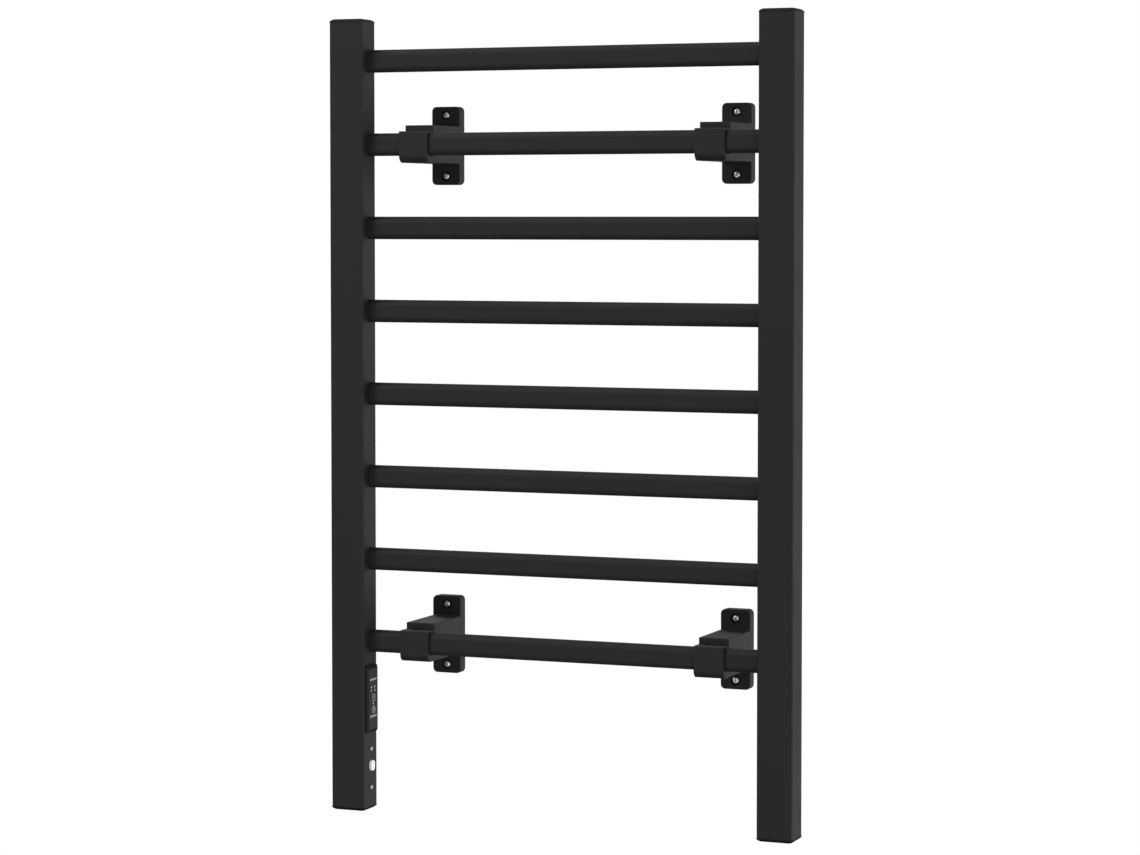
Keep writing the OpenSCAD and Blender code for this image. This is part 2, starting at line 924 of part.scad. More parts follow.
// Steel plate behind the post's inner wall that carries the inlet
module inlet_carrier() {
    carrier_h = carrier_screw_gap + 2 * carrier_end;
    color(grey_metal)
        translate([module_x, inlet_y, carrier_z])
            difference() {
                along_x(-post_wall - carrier_t, carrier_t)
                    square([carrier_w, carrier_h], center = true);
                translate([0, 0, carrier_offset])
                    along_x(-post_wall - carrier_t - past, carrier_t + 2 * past)
                        two_lobes(inlet_lobe_r - barrel_step + slip, inlet_lobe_gap);
                for (s = [-1, 1])
                    translate([0, 0, s * carrier_screw_gap / 2])
                        along_x(-post_wall - carrier_t - past, carrier_t + 2 * past)
                            circle(d = carrier_screw_d);
            }
}

module carrier_screws() {
    for (s = [-1, 1])
        translate([module_x, inlet_y, carrier_z + s * carrier_screw_gap / 2])
            rotate([0, 0, -90])
                pan_screw(carrier_screw_d, post_wall + carrier_t + carrier_screw_end,
                          carrier_head_d, carrier_head_h);
}

// ---------------------------------------------------------------- brackets

// Wall plate and arm in one piece, for a bar whose middle is at z = 0
module bracket() {
    arm_h = arm_above + arm_below;
    color(black_coat)
        difference() {
            union() {
                hull() {
                    rotate([90, 0, 0])
                        linear_extrude(plate_t - plate_chamfer)
                            round_rect(bracket_w, plate_h, plate_corner_r, $fn = 32);
                    rotate([90, 0, 0])
                        linear_extrude(plate_t)
                            round_rect(bracket_w - 2 * plate_chamfer, plate_h - 2 * plate_chamfer,
                                       plate_corner_r - plate_chamfer, $fn = 32);
                }
                translate([-bracket_w / 2, arm_front_y, -arm_below])
                    cube([bracket_w, -plate_t - arm_front_y + past, arm_h]);
            }
            // hollow of the arm, open to the wall
            translate([-bracket_w / 2 + arm_wall, arm_front_y + arm_nose_l, -arm_below + arm_wall])
                cube([bracket_w - 2 * arm_wall, -arm_front_y - arm_nose_l + past, arm_h - 2 * arm_wall]);
            // wall screws
            for (s = [-1, 1])
                translate([0, 0, s * wall_screw_gap / 2])
                    rotate([90, 0, 0]) {
                        translate([0, 0, -past])
                            cylinder(d = wall_screw_d + 2 * run, h = plate_t + 2 * past);
                        translate([0, 0, -screw_floor_y])
                            cylinder(d = head_recess_d, h = head_recess_l + past);
                    }
            // seat of the hook's tongue, and the slot of its tab
            translate([-tongue_w / 2 - slip, arm_front_y - past, -arm_below - past])
                cube([tongue_w + 2 * slip, tongue_l + slip + past, tongue_t + past]);
            translate([-tongue_w / 2 - slip, arm_front_y - past, hook_lip_z - slip])
                cube([tongue_w + 2 * slip, tab_l + slip + past, hook_lip_t + 2 * slip]);
            // thread of the clamp screw
            translate([0, arm_front_y + tongue_l / 2, -arm_below + tongue_t - past])
                cylinder(d = clamp_screw_d, h = clamp_screw_l + run + past);
        }
}

// Outline of a hook in the Y-Z plane, with the bar's middle at the origin
module hook_outline() {
    front = hook_front_y - bar_y;
    back = arm_front_y - bar_y;
    top = hook_lip_z + hook_lip_t;
    bottom = -arm_below;
    difference() {
        union() {
            translate([front + hook_low_r, bottom])
                square([back - front - hook_low_r, top - bottom]);
            translate([front, bottom + hook_low_r])
                square([hook_low_r, top - bottom - hook_low_r - hook_top_r]);
            translate([front + hook_top_r, bottom + hook_low_r])
                square([hook_low_r, top - bottom - hook_low_r]);
            translate([front + hook_low_r, bottom + hook_low_r])
                circle(hook_low_r);
            translate([front + hook_top_r, top - hook_top_r])
                circle(hook_top_r);
        }
        flat_oval(bar_d + 2 * run, bar_h + 2 * run);
        translate([0, -hook_lip_z])
            square([back + past, 2 * hook_lip_z]);
    }
}

// Hook around a bar: outline, tongue below the arm, tab in the arm's slot
module hook() {
    color(black_coat)
        difference() {
            union() {
                translate([0, bar_y, 0])
                    along_x(-bracket_w / 2, bracket_w)
                        hook_outline();
                translate([-tongue_w / 2, arm_front_y - past, -arm_below])
                    cube([tongue_w, tongue_l + past, tongue_t]);
                translate([-tongue_w / 2, arm_front_y - past, hook_lip_z])
                    cube([tongue_w, tab_l + past, hook_lip_t]);
            }
            translate([0, arm_front_y + tongue_l / 2, -arm_below - past]) {
                cylinder(d = clamp_screw_d + 2 * slip, h = tongue_t + 2 * past);
                cylinder(d = clamp_head_d + 2 * slip, h = clamp_head_h + past);
            }
        }
}

// Every bracket's place: side and bar number
function bracket_places() = [[-1, upper_bar], [1, upper_bar], [-1, lower_bar], [1, lower_bar]];

module at_bracket(place) {
    translate([place[0] * bracket_x, 0, bar_z(place[1])])
        children();
}

module bracket_upper_left() { at_bracket(bracket_places()[0]) bracket(); }
module bracket_upper_right() { at_bracket(bracket_places()[1]) bracket(); }
module bracket_lower_left() { at_bracket(bracket_places()[2]) bracket(); }
module bracket_lower_right() { at_bracket(bracket_places()[3]) bracket(); }

module hook_upper_left() { at_bracket(bracket_places()[0]) hook(); }
module hook_upper_right() { at_bracket(bracket_places()[1]) hook(); }
module hook_lower_left() { at_bracket(bracket_places()[2]) hook(); }
module hook_lower_right() { at_bracket(bracket_places()[3]) hook(); }

module bar_pads() {
    pad_margin = 2;
    pad_w = bracket_w - 2 * pad_margin;
    color(rubber_black)
        for (place = bracket_places())
            at_bracket(place)
                translate([-pad_w / 2, arm_front_y - pad_t, -pad_h / 2])
                    cube([pad_w, pad_t, pad_h]);
}

// Flush screw from below, through the tongue into the arm
module clamp_screws() {
    for (place = bracket_places())
        at_bracket(place)
            translate([0, arm_front_y + tongue_l / 2, -arm_below])
                color(bright_steel)
                    difference() {
                        union() {
                            cylinder(d = clamp_head_d, h = clamp_head_h);
                            cylinder(d = clamp_screw_d - 2 * thread_slip, h = tongue_t + clamp_screw_l);
                        }
                        translate([0, 0, -past])
                            cylinder(d = hex_socket_d, h = hex_socket_l + past, $fn = 6);
                    }
}

// Cross-head screw with its head in the plate's recess and its shank past the wall
// Each has a head, a plain neck through the plate and a thicker thread in the wall
module wall_screws() {
    tip_l = 4;
    tip_r = 0.4;
    color(bright_steel)
        for (place = bracket_places(), s = [-1, 1])
            at_bracket(place)
                translate([0, 0, s * wall_screw_gap / 2])
                    rotate([0, 0, 180]) {
                        translate([0, -screw_floor_y, 0])
                            pan_screw(wall_neck_d + 2 * thread_slip, -screw_floor_y,
                                      wall_head_d, wall_head_h);
                        rotate([90, 0, 0])
                            rotate_extrude()
                                polygon([[0, 0], [wall_screw_d / 2, 0],
                                         [wall_screw_d / 2, wall_screw_l - tip_l],
                                         [tip_r, wall_screw_l], [0, wall_screw_l]]);
                    }
}

// ---------------------------------------------------------------- nodes

left_post();
right_post();
bar(1);  // bar_1
bar(2);  // bar_2
bar(3);  // bar_3
bar(4);  // bar_4
bar(5);  // bar_5
bar(6);  // bar_6
bar(7);  // bar_7
bar(8);  // bar_8
cap_top_left();
cap_top_right();
cap_bottom_left();
cap_bottom_right();
anchors_left();
anchors_right();
anchor_screws_left();
anchor_screws_right();
heating_cable();
thermal_cutout();
control_housing();
control_face();
circuit_board();
switch_bodies();
power_relay();
terminal_blocks();
indicator_lights();
face_strips();
timer_button();
power_button();
timer_mark();
power_mark();
inlet_body();
inlet_pins();
inlet_clip();
inlet_carrier();
carrier_screws();
supply_leads();
bracket_upper_left();
bracket_upper_right();
bracket_lower_left();
bracket_lower_right();
hook_upper_left();
hook_upper_right();
hook_lower_left();
hook_lower_right();
bar_pads();
clamp_screws();
wall_screws();
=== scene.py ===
# %% [markdown]
# # A heated towel rack
# The object is an electric rack that warms towels: two upright aluminium posts, eight flat
# bars between them, and four wall brackets whose hooks hold two of the bars. Everything is
# coated satin black. The construction, with every size and moving joint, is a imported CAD
# model. This lesson loads that model as a fixed frame and gives it its looks: finishes,
# rounded castings, real screws, keys and lights.

# %% Load the frame
import json
import math

import bmesh
import bpy
from mathutils import Matrix, Vector


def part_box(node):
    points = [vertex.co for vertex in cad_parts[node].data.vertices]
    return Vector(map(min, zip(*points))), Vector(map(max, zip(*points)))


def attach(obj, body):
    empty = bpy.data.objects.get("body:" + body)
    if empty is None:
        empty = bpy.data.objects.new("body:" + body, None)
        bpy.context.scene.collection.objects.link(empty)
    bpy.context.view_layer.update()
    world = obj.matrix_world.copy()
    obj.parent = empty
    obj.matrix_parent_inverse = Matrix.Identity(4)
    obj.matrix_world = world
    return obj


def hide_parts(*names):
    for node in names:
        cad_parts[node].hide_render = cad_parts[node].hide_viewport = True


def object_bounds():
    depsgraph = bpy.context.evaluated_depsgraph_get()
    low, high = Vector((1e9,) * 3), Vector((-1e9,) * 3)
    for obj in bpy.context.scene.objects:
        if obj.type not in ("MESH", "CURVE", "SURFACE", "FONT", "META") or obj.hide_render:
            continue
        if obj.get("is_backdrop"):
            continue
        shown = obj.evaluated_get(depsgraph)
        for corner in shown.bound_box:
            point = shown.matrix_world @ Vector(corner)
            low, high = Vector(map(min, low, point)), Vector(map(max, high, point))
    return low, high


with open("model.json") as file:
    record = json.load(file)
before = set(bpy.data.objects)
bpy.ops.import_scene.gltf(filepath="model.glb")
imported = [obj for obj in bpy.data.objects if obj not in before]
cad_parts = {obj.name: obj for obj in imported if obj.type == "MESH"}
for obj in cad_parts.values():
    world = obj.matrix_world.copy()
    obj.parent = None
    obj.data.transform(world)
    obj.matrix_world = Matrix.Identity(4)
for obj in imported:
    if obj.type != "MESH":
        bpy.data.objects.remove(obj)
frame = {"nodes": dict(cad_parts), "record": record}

mm = 0.001
cad_low, cad_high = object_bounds()
print("rack in mm:", [round(side / mm, 1) for side in cad_high - cad_low])

# %% [markdown]
# ## The camera
# A rack like this is wide and flat, so it is shown turned a little: the camera stands on the
# right, a good three metres off, with a long lens that keeps the posts nearly parallel. It
# looks slightly down. The lens could be shifted to make the posts exactly parallel, but a
# large shift would push the rack out of the picture in other views, so it stays small.

# %% Place the camera
view_heading = math.radians(21.8)
view_dip = math.radians(2.758)

camera_data = bpy.data.cameras.new("camera")
camera_data.sensor_width = 36
camera_data.lens = 100.27
camera_data.shift_y = -0.05
camera = bpy.data.objects.new("camera", camera_data)
camera.location = (1.2305, -3.1424, 0.187)
camera.rotation_euler = (math.radians(90) - view_dip, 0, view_heading)
bpy.context.scene.collection.objects.link(camera)
bpy.context.scene.camera = camera
print("camera is", round(camera.location.length, 2), "m from the middle of the wall screws")

# %% [markdown]
# ## Light for a black object
# Black paint shows almost nothing of its own colour: what is seen is the soft mirror image of
# the room on each face. So the light is set up face by face. A broad softbox far off on the
# left lights the fronts, and a box high on the left draws the upper edges of the bars. From
# there its mirror image lies on the round edges and hardly on the fronts. Two more stand
# behind the wall side: they reach only the tops, the backs and the left sides, so those are
# not lost in black when the rack is seen from there. The boxes are large and distant because
# a near one would make the long bars brighter at one end.

# %% A function for soft boxes
def softbox(name, place, aim, width, height, power):
    data = bpy.data.lights.new(name, "AREA")
    data.shape = "RECTANGLE"
    data.size = width
    data.size_y = height
    data.energy = power
    lamp = bpy.data.objects.new(name, data)
    lamp.location = place
    lamp.rotation_euler = (Vector(aim) - Vector(place)).to_track_quat("-Z", "Y").to_euler()
    lamp.visible_camera = False
    bpy.context.scene.collection.objects.link(lamp)


# %% Hang the lamps
rack_middle = (cad_low + cad_high) / 2
softbox("key_left", (-13, -13, 7.8), rack_middle, width=6.4, height=4.8, power=1450)
softbox("top_left", (-5.0, -1.8, 8.6), rack_middle, width=4.0, height=3.0, power=270)
softbox("back_top", (-2.8, 7.1, 6.4), rack_middle, width=4.0, height=2.5, power=70)
softbox("back_left", (-9.5, 7.5, 2.4), rack_middle, width=7.0, height=5.0, power=1000)

# %% [markdown]
# ## The sky and the floor
# The sky that lights the rack and the sky that the camera sees are two backgrounds. The
# camera sees plain white. The rack sees a dim grey that grows brighter to the right and to
# the front, which sets the side faces off from the fronts, and darker straight below. An
# image of a studio could do this too, but a few nodes on the direction need no file, and
# each side can be set by itself. The floor lies well below the rack, since the rack hangs on
# a wall. It is plain white and only the camera sees it: as a real white floor it would light
# every lower edge.

# %% A short way to add shader nodes
def add(tree, kind, inputs=None, **settings):
    """Adds a node. A socket given as an input is linked, any other value is set."""
    made = tree.nodes.new(kind)
    for key, value in settings.items():
        setattr(made, key, value)
    for key, value in (inputs or {}).items():
        if isinstance(value, bpy.types.NodeSocket):
            tree.links.new(value, made.inputs[key])
        else:
            made.inputs[key].default_value = value
    return made


# %% Make the sky that the rack sees
right_curve = 1.5
right_gain = 1.8
sky = bpy.data.worlds.new("studio_sky")
bpy.context.scene.world = sky
sky.use_nodes = True
sky_tree = sky.node_tree
sky_tree.nodes.clear()
direction = add(sky_tree, "ShaderNodeSeparateXYZ",
                {"Vector": add(sky_tree, "ShaderNodeTexCoord").outputs["Generated"]})
from_left = add(sky_tree, "ShaderNodeMapRange",
                {"Value": direction.outputs["X"], "From Min": -0.9, "From Max": 0.0,
                 "To Min": 0.06, "To Max": 0.30})
right_side = add(sky_tree, "ShaderNodeClamp", {"Value": direction.outputs["X"]})
to_right = add(sky_tree, "ShaderNodeMath",
               {0: right_side.outputs[0], 1: right_curve}, operation="POWER")
brighter_right = add(sky_tree, "ShaderNodeMath",
                     {0: to_right.outputs[0], 1: right_gain,
                      2: from_left.outputs["Result"]},
                     operation="MULTIPLY_ADD")
towards_front = add(sky_tree, "ShaderNodeMapRange",
                    {"Value": direction.outputs["Y"], "From Min": 0.2, "From Max": -1.0,
                     "To Min": 0.0, "To Max": 0.46})
glow = add(sky_tree, "ShaderNodeMath",
           {0: brighter_right.outputs[0], 1: towards_front.outputs["Result"]})
from_below = add(sky_tree, "ShaderNodeMapRange",
                 {"Value": direction.outputs["Z"], "From Min": -0.9, "From Max": -0.35,
                  "To Min": 0.5, "To Max": 1.0})
low_share = add(sky_tree, "ShaderNodeMapRange",
                {"Value": direction.outputs["Z"], "From Min": -0.35, "From Max": 0.3,
                 "To Min": 1.4, "To Max": 0.8})
height_share = add(sky_tree, "ShaderNodeMath",
                   {0: from_below.outputs["Result"], 1: low_share.outputs["Result"]},
                   operation="MULTIPLY")
level = add(sky_tree, "ShaderNodeMath",
            {0: glow.outputs[0], 1: height_share.outputs[0]}, operation="MULTIPLY")
print("nodes for the dim sky:", len(sky_tree.nodes))

# %% Give the camera a white one
dim_sky = add(sky_tree, "ShaderNodeBackground", {"Strength": level.outputs[0]})
white_sky = add(sky_tree, "ShaderNodeBackground", {"Color": (1, 1, 1, 1), "Strength": 1.0})
seen = add(sky_tree, "ShaderNodeLightPath").outputs["Is Camera Ray"]
sky_mix = add(sky_tree, "ShaderNodeMixShader",
              {0: seen, 1: dim_sky.outputs[0], 2: white_sky.outputs[0]})
add(sky_tree, "ShaderNodeOutputWorld", {"Surface": sky_mix.outputs[0]})
bpy.context.scene.view_settings.view_transform = "Standard"
print("sky nodes:", len(sky_tree.nodes))

# %% Lay the floor
floor_drop = 0.75
floor_half = 30
floor_mesh = bpy.data.meshes.new("studio_floor")
floor_z = cad_low.z - floor_drop
floor_mesh.from_pydata([(-floor_half, -floor_half, floor_z), (floor_half, -floor_half, floor_z),
                        (floor_half, floor_half, floor_z), (-floor_half, floor_half, floor_z)],
                       [], [(0, 1, 2, 3)])
floor = bpy.data.objects.new("studio_floor", floor_mesh)
bpy.context.scene.collection.objects.link(floor)
floor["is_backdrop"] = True
floor.visible_diffuse = False
floor.visible_glossy = False
floor.visible_shadow = False
pale = bpy.data.materials.new("pale_floor")
pale.use_nodes = True
pale.node_tree.nodes.clear()
floor_white = add(pale.node_tree, "ShaderNodeEmission", {"Color": (1, 1, 1, 1), "Strength": 1.0})
add(pale.node_tree, "ShaderNodeOutputMaterial", {"Surface": floor_white.outputs[0]})
floor_mesh.materials.append(pale)
print("floor lies", floor_drop, "m below the rack")

# %% [markdown]
# ## Effects shared by the finishes
# A sprayed powder coat, a sand casting and a moulded plastic differ in scale more than in
# kind: each has a fine relief, a slow mottle and a little dust on what faces up. So each
# effect is one node group with its sizes as inputs, and every finish places it with its own
# values. A group only puts out numbers that change over the surface. Shaders stay outside.

# %% A function that opens a node group
def effect(name, inputs, outputs):
    group = bpy.data.node_groups.new(name, "ShaderNodeTree")
    for label, value in inputs.items():
        socket = group.interface.new_socket(label, in_out="INPUT", socket_type="NodeSocketFloat")
        socket.default_value = value
    for label in outputs:
        group.interface.new_socket(label, in_out="OUTPUT", socket_type="NodeSocketFloat")
    return group, group.nodes.new("NodeGroupInput"), group.nodes.new("NodeGroupOutput")


def in_millimetres(tree):
    """The surface point in millimetres, which moves with its piece."""
    point = add(tree, "ShaderNodeTexCoord").outputs["Object"]
    return add(tree, "ShaderNodeVectorMath", {0: point, "Scale": 1 / mm},
               operation="SCALE").outputs["Vector"]


def maths(tree, operation, first, second, clamp=False):
    return add(tree, "ShaderNodeMath", {0: first, 1: second},
               operation=operation, use_clamp=clamp).outputs[0]


def mix_colours(tree, share, first, second):
    """A Mix node has its two colours at 6 and 7 and the mixed colour at 2."""
    return add(tree, "ShaderNodeMix", {"Factor": share, 6: first, 7: second},
               data_type="RGBA").outputs[2]


# %% Skin: relief and mottle of a sprayed, cast or moulded surface
skin, skin_in, skin_out = effect(
    "surface_skin",
    {"Wave Size": 3.0, "Grain Size": 0.5, "Grain Share": 0.4, "Mottle Size": 40.0},
    ["Relief", "Mottle"])
skin_point = in_millimetres(skin)
wave = add(skin, "ShaderNodeTexNoise",
           {"Vector": skin_point, "Detail": 1.0, "Roughness": 0.4,
            "Scale": maths(skin, "DIVIDE", 1.0, skin_in.outputs["Wave Size"])})
grain = add(skin, "ShaderNodeTexNoise",
            {"Vector": skin_point, "Detail": 3.0, "Roughness": 0.6,
             "Scale": maths(skin, "DIVIDE", 1.0, skin_in.outputs["Grain Size"])})
relief = add(skin, "ShaderNodeMix",
             {"Factor": skin_in.outputs["Grain Share"], "A": wave.outputs["Fac"],
              "B": grain.outputs["Fac"]})
mottle = add(skin, "ShaderNodeTexNoise",
             {"Vector": skin_point, "Detail": 2.0, "Roughness": 0.5,
              "Scale": maths(skin, "DIVIDE", 1.0, skin_in.outputs["Mottle Size"])})
mottle_range = add(skin, "ShaderNodeMapRange",
                   {"Value": mottle.outputs["Fac"], "From Min": 0.3, "From Max": 0.7})
skin.links.new(relief.outputs["Result"], skin_out.inputs["Relief"])
skin.links.new(mottle_range.outputs["Result"], skin_out.inputs["Mottle"])
print("skin group:", len(skin.nodes), "nodes")

# %% Dust: a thin film on what faces up
dust, dust_in, dust_out = effect("settled_dust", {"Amount": 0.2, "Patch Size": 12.0}, ["Dust"])
facing = add(dust, "ShaderNodeSeparateXYZ",
             {"Vector": add(dust, "ShaderNodeNewGeometry").outputs["Normal"]})
upward = add(dust, "ShaderNodeMapRange",
             {"Value": facing.outputs["Z"], "From Min": 0.35, "From Max": 1.0},
             interpolation_type="SMOOTHSTEP")
patches = add(dust, "ShaderNodeTexNoise",
              {"Vector": in_millimetres(dust), "Detail": 4.0,
               "Scale": maths(dust, "DIVIDE", 1.0, dust_in.outputs["Patch Size"])})
patchy = add(dust, "ShaderNodeMapRange",
             {"Value": patches.outputs["Fac"], "From Min": 0.3, "From Max": 0.75,
              "To Min": 0.55, "To Max": 1.0})
film = maths(dust, "MULTIPLY", upward.outputs["Result"], patchy.outputs["Result"])
dust.links.new(maths(dust, "MULTIPLY", film, dust_in.outputs["Amount"]), dust_out.inputs["Dust"])
print("dust group:", len(dust.nodes), "nodes")

# %% Brushing: fine scratches that run one way
brushing, brush_in, brush_out = effect(
    "brushed_lines", {"Line Width": 0.15, "Line Length": 4.0}, ["Lines"])
narrow = maths(brushing, "DIVIDE", 1.0, brush_in.outputs["Line Width"])
long = maths(brushing, "DIVIDE", 1.0, brush_in.outputs["Line Length"])
stretch = add(brushing, "ShaderNodeCombineXYZ", {"X": long, "Y": narrow, "Z": narrow})
stretched = add(brushing, "ShaderNodeVectorMath",
                {0: in_millimetres(brushing), 1: stretch.outputs[0]}, operation="MULTIPLY")
lines = add(brushing, "ShaderNodeTexNoise",
            {"Vector": stretched.outputs["Vector"], "Scale": 1.0, "Detail": 2.0})
brushing.links.new(lines.outputs["Fac"], brush_out.inputs["Lines"])
print("brushing group:", len(brushing.nodes), "nodes")

# %% [markdown]
# ## Finishes
# Each finish is one Principled shader. Its colour runs between two near tones with the
# mottle, dust lifts the colour and dulls the gloss, and the relief feeds a Bump node. What is
# the same all over, such as the refraction, is set on the shader itself.

# %% A function for painted, cast and moulded finishes
dust_tone = (0.30, 0.29, 0.28, 1)


def covered_finish(name, tone, gloss, skin_sizes, relief_depth, dust_amount=0.0, ior=1.45,
                   tone_swing=0.06, gloss_swing=0.04):
    """tone is the colour, gloss the roughness, relief_depth the relief in millimetres.

    skin_sizes are the four inputs of the skin group, in their order."""
    finish = bpy.data.materials.new(name)
    finish.use_nodes = True
    tree = finish.node_tree
    shader = tree.nodes["Principled BSDF"]
    surface = add(tree, "ShaderNodeGroup", node_tree=skin)
    for label, size in zip(("Wave Size", "Grain Size", "Grain Share", "Mottle Size"), skin_sizes):
        surface.inputs[label].default_value = size
    dark = [channel * (1 - tone_swing) for channel in tone] + [1]
    light = [channel * (1 + tone_swing) for channel in tone] + [1]
    colour = mix_colours(tree, surface.outputs["Mottle"], dark, light)
    roughness = add(tree, "ShaderNodeMapRange",
                    {"Value": surface.outputs["Mottle"],
                     "To Min": gloss - gloss_swing, "To Max": gloss + gloss_swing}).outputs[0]
    if dust_amount:
        settled = add(tree, "ShaderNodeGroup", node_tree=dust)
        settled.inputs["Amount"].default_value = dust_amount
        colour = mix_colours(tree, settled.outputs["Dust"], colour, dust_tone)
        roughness = maths(tree, "ADD", roughness, settled.outputs["Dust"], clamp=True)
    tree.links.new(colour, shader.inputs["Base Color"])
    tree.links.new(roughness, shader.inputs["Roughness"])
    bump = add(tree, "ShaderNodeBump",
               {"Height": surface.outputs["Relief"], "Strength": 1.0,
                "Distance": relief_depth * mm})
    tree.links.new(bump.outputs["Normal"], shader.inputs["Normal"])
    shader.inputs["IOR"].default_value = ior
    return finish


# %% [markdown]
# Screws, pins and the anchors inside the posts are bare metal. The shader could stretch
# their highlights by itself, but that needs a direction on every face, and on a head a few
# millimetres wide it hardly shows. So fine lines that run one way vary the gloss and stand
# up a few thousandths of a millimetre: the brushing group, with a width and a length for
# each metal.

# %% A function for bare metal
line_shade = 0.88


def bare_metal(name, tone, gloss, line_width, line_length, relief_depth=0.004,
               gloss_swing=0.07):
    """Metal with fine lines: they vary the gloss and stand a few thousandths high."""
    finish = bpy.data.materials.new(name)
    finish.use_nodes = True
    tree = finish.node_tree
    shader = tree.nodes["Principled BSDF"]
    shader.inputs["Metallic"].default_value = 1.0
    brushed = add(tree, "ShaderNodeGroup", node_tree=brushing)
    brushed.inputs["Line Width"].default_value = line_width
    brushed.inputs["Line Length"].default_value = line_length
    dark = [channel * line_shade for channel in tone] + [1]
    colour = mix_colours(tree, brushed.outputs["Lines"], dark, [*tone, 1])
    roughness = add(tree, "ShaderNodeMapRange",
                    {"Value": brushed.outputs["Lines"], "From Min": 0.25, "From Max": 0.75,
                     "To Min": gloss - gloss_swing, "To Max": gloss + gloss_swing}).outputs[0]
    bump = add(tree, "ShaderNodeBump",
               {"Height": brushed.outputs["Lines"], "Strength": 1.0,
                "Distance": relief_depth * mm})
    tree.links.new(colour, shader.inputs["Base Color"])
    tree.links.new(roughness, shader.inputs["Roughness"])
    tree.links.new(bump.outputs["Normal"], shader.inputs["Normal"])
    return finish


# %% [markdown]
# Nearly every part is black, so what tells them apart is how each one mirrors the light. The
# posts and the bars wear a satin powder coat with a fine ripple. The brackets and the hooks
# have the same colour over a cast skin, which is coarser and blotchy. The housing and the
# caps are moulded, and the face and the keys are smoother and darker. A low refraction keeps
# them from turning grey where the light comes in at a flat angle.

# %% The black finishes
black_coat = covered_finish("satin_black_powder_coat", (0.0090, 0.0090, 0.0092), 0.58,
                            (1.8, 0.45, 0.45, 60), 0.05, dust_amount=0.01, ior=1.33)
black_casting = covered_finish("black_coated_casting", (0.0090, 0.0090, 0.0092), 0.52,
                               (1.6, 0.5, 0.6, 9), 0.12, dust_amount=0.015, tone_swing=0.16,
                               gloss_swing=0.06, ior=1.33)
black_plastic = covered_finish("black_moulded_plastic", (0.006, 0.006, 0.0061), 0.65,
                               (1.2, 0.35, 0.7, 25), 0.04, dust_amount=0.005, ior=1.3)
face_plastic = covered_finish("dark_face_plastic", (0.005, 0.005, 0.0052), 0.42,
                              (2.5, 0.2, 0.6, 20), 0.004, ior=1.27)
# Painted shade: a darker, less glossy copy of the cap plastic, for the lower caps only
shaded_lower_cap_plastic = covered_finish("painted_shade_cap_plastic", (0.004, 0.004, 0.0041), 0.6,
                             (1.2, 0.35, 0.7, 25), 0.04, dust_amount=0.005, ior=1.2)
pad_rubber = covered_finish("black_rubber", (0.014, 0.014, 0.014), 0.75,
                            (1.5, 0.3, 0.5, 12), 0.02)
print("black finishes:", black_coat.name, black_casting.name, black_plastic.name)

# %% [markdown]
# A few small things are pale or bright, and they give the rack its scale: the print on the
# module, the light guides, the white inlet, and the metal of screws, pins and anchors. The
# print on the keys is brighter than the strips beside them. White plastic is left a little
# below full white, so that its round edges still show.

# %% The pale and bright finishes
legend_grey = covered_finish("pale_print", (0.26, 0.26, 0.265), 0.5,
                             (0.8, 0.15, 0.6, 3), 0.004, tone_swing=0.12)
key_print = covered_finish("bright_key_print", (0.37, 0.37, 0.38), 0.5,
                           (0.8, 0.15, 0.6, 3), 0.003, tone_swing=0.06)
light_guide = covered_finish("milky_light_guide", (0.80, 0.80, 0.81), 0.25,
                             (1.0, 0.2, 0.3, 4), 0.002)
inlet_white = covered_finish("white_moulded_plastic", (0.92, 0.92, 0.91), 0.35,
                             (2.0, 0.3, 0.4, 8), 0.004, tone_swing=0.02)
bright_steel = bare_metal("nickel_plated_steel", (0.86, 0.86, 0.87), 0.27, 0.12, 2.5)
dull_steel = bare_metal("zinc_plated_steel", (0.44, 0.45, 0.47), 0.36, 0.12, 2.0)
pin_brass = bare_metal("nickelled_brass", (0.80, 0.72, 0.50), 0.22, 0.1, 1.5)
bare_aluminium = bare_metal("sawn_aluminium", (0.72, 0.73, 0.75), 0.38, 0.25, 8.0)
print("bright finishes:", bright_steel.name, pin_brass.name, inlet_white.name)

# %% [markdown]
# The parts inside are seen only when the rack is taken apart, but they get their own finishes
# too. The circuit board is green lacquer over copper tracks. A picture of a board could be
# laid on it, but a Brick texture with long bricks needs no picture: its joints give straight
# tracks whose ends are staggered.

# %% The finishes of the inner parts
cable_silicone = covered_finish("grey_silicone", (0.20, 0.20, 0.21), 0.55, (3, 0.4, 0.3, 30), 0.01)
cutout_ceramic = covered_finish("unglazed_ceramic", (0.74, 0.72, 0.67), 0.7,
                                (0.8, 0.2, 0.7, 6), 0.02)
switch_grey = covered_finish("switch_plastic", (0.06, 0.06, 0.06), 0.45, (1, 0.2, 0.5, 5), 0.006)
relay_blue = covered_finish("relay_plastic", (0.03, 0.09, 0.36), 0.35, (2, 0.3, 0.4, 12), 0.006)
terminal_green = covered_finish("terminal_plastic", (0.03, 0.24, 0.09), 0.4,
                                (1.5, 0.25, 0.4, 9), 0.006)
wire_brown = covered_finish("wire_insulation", (0.16, 0.06, 0.025), 0.45, (2, 0.3, 0.3, 20), 0.006)

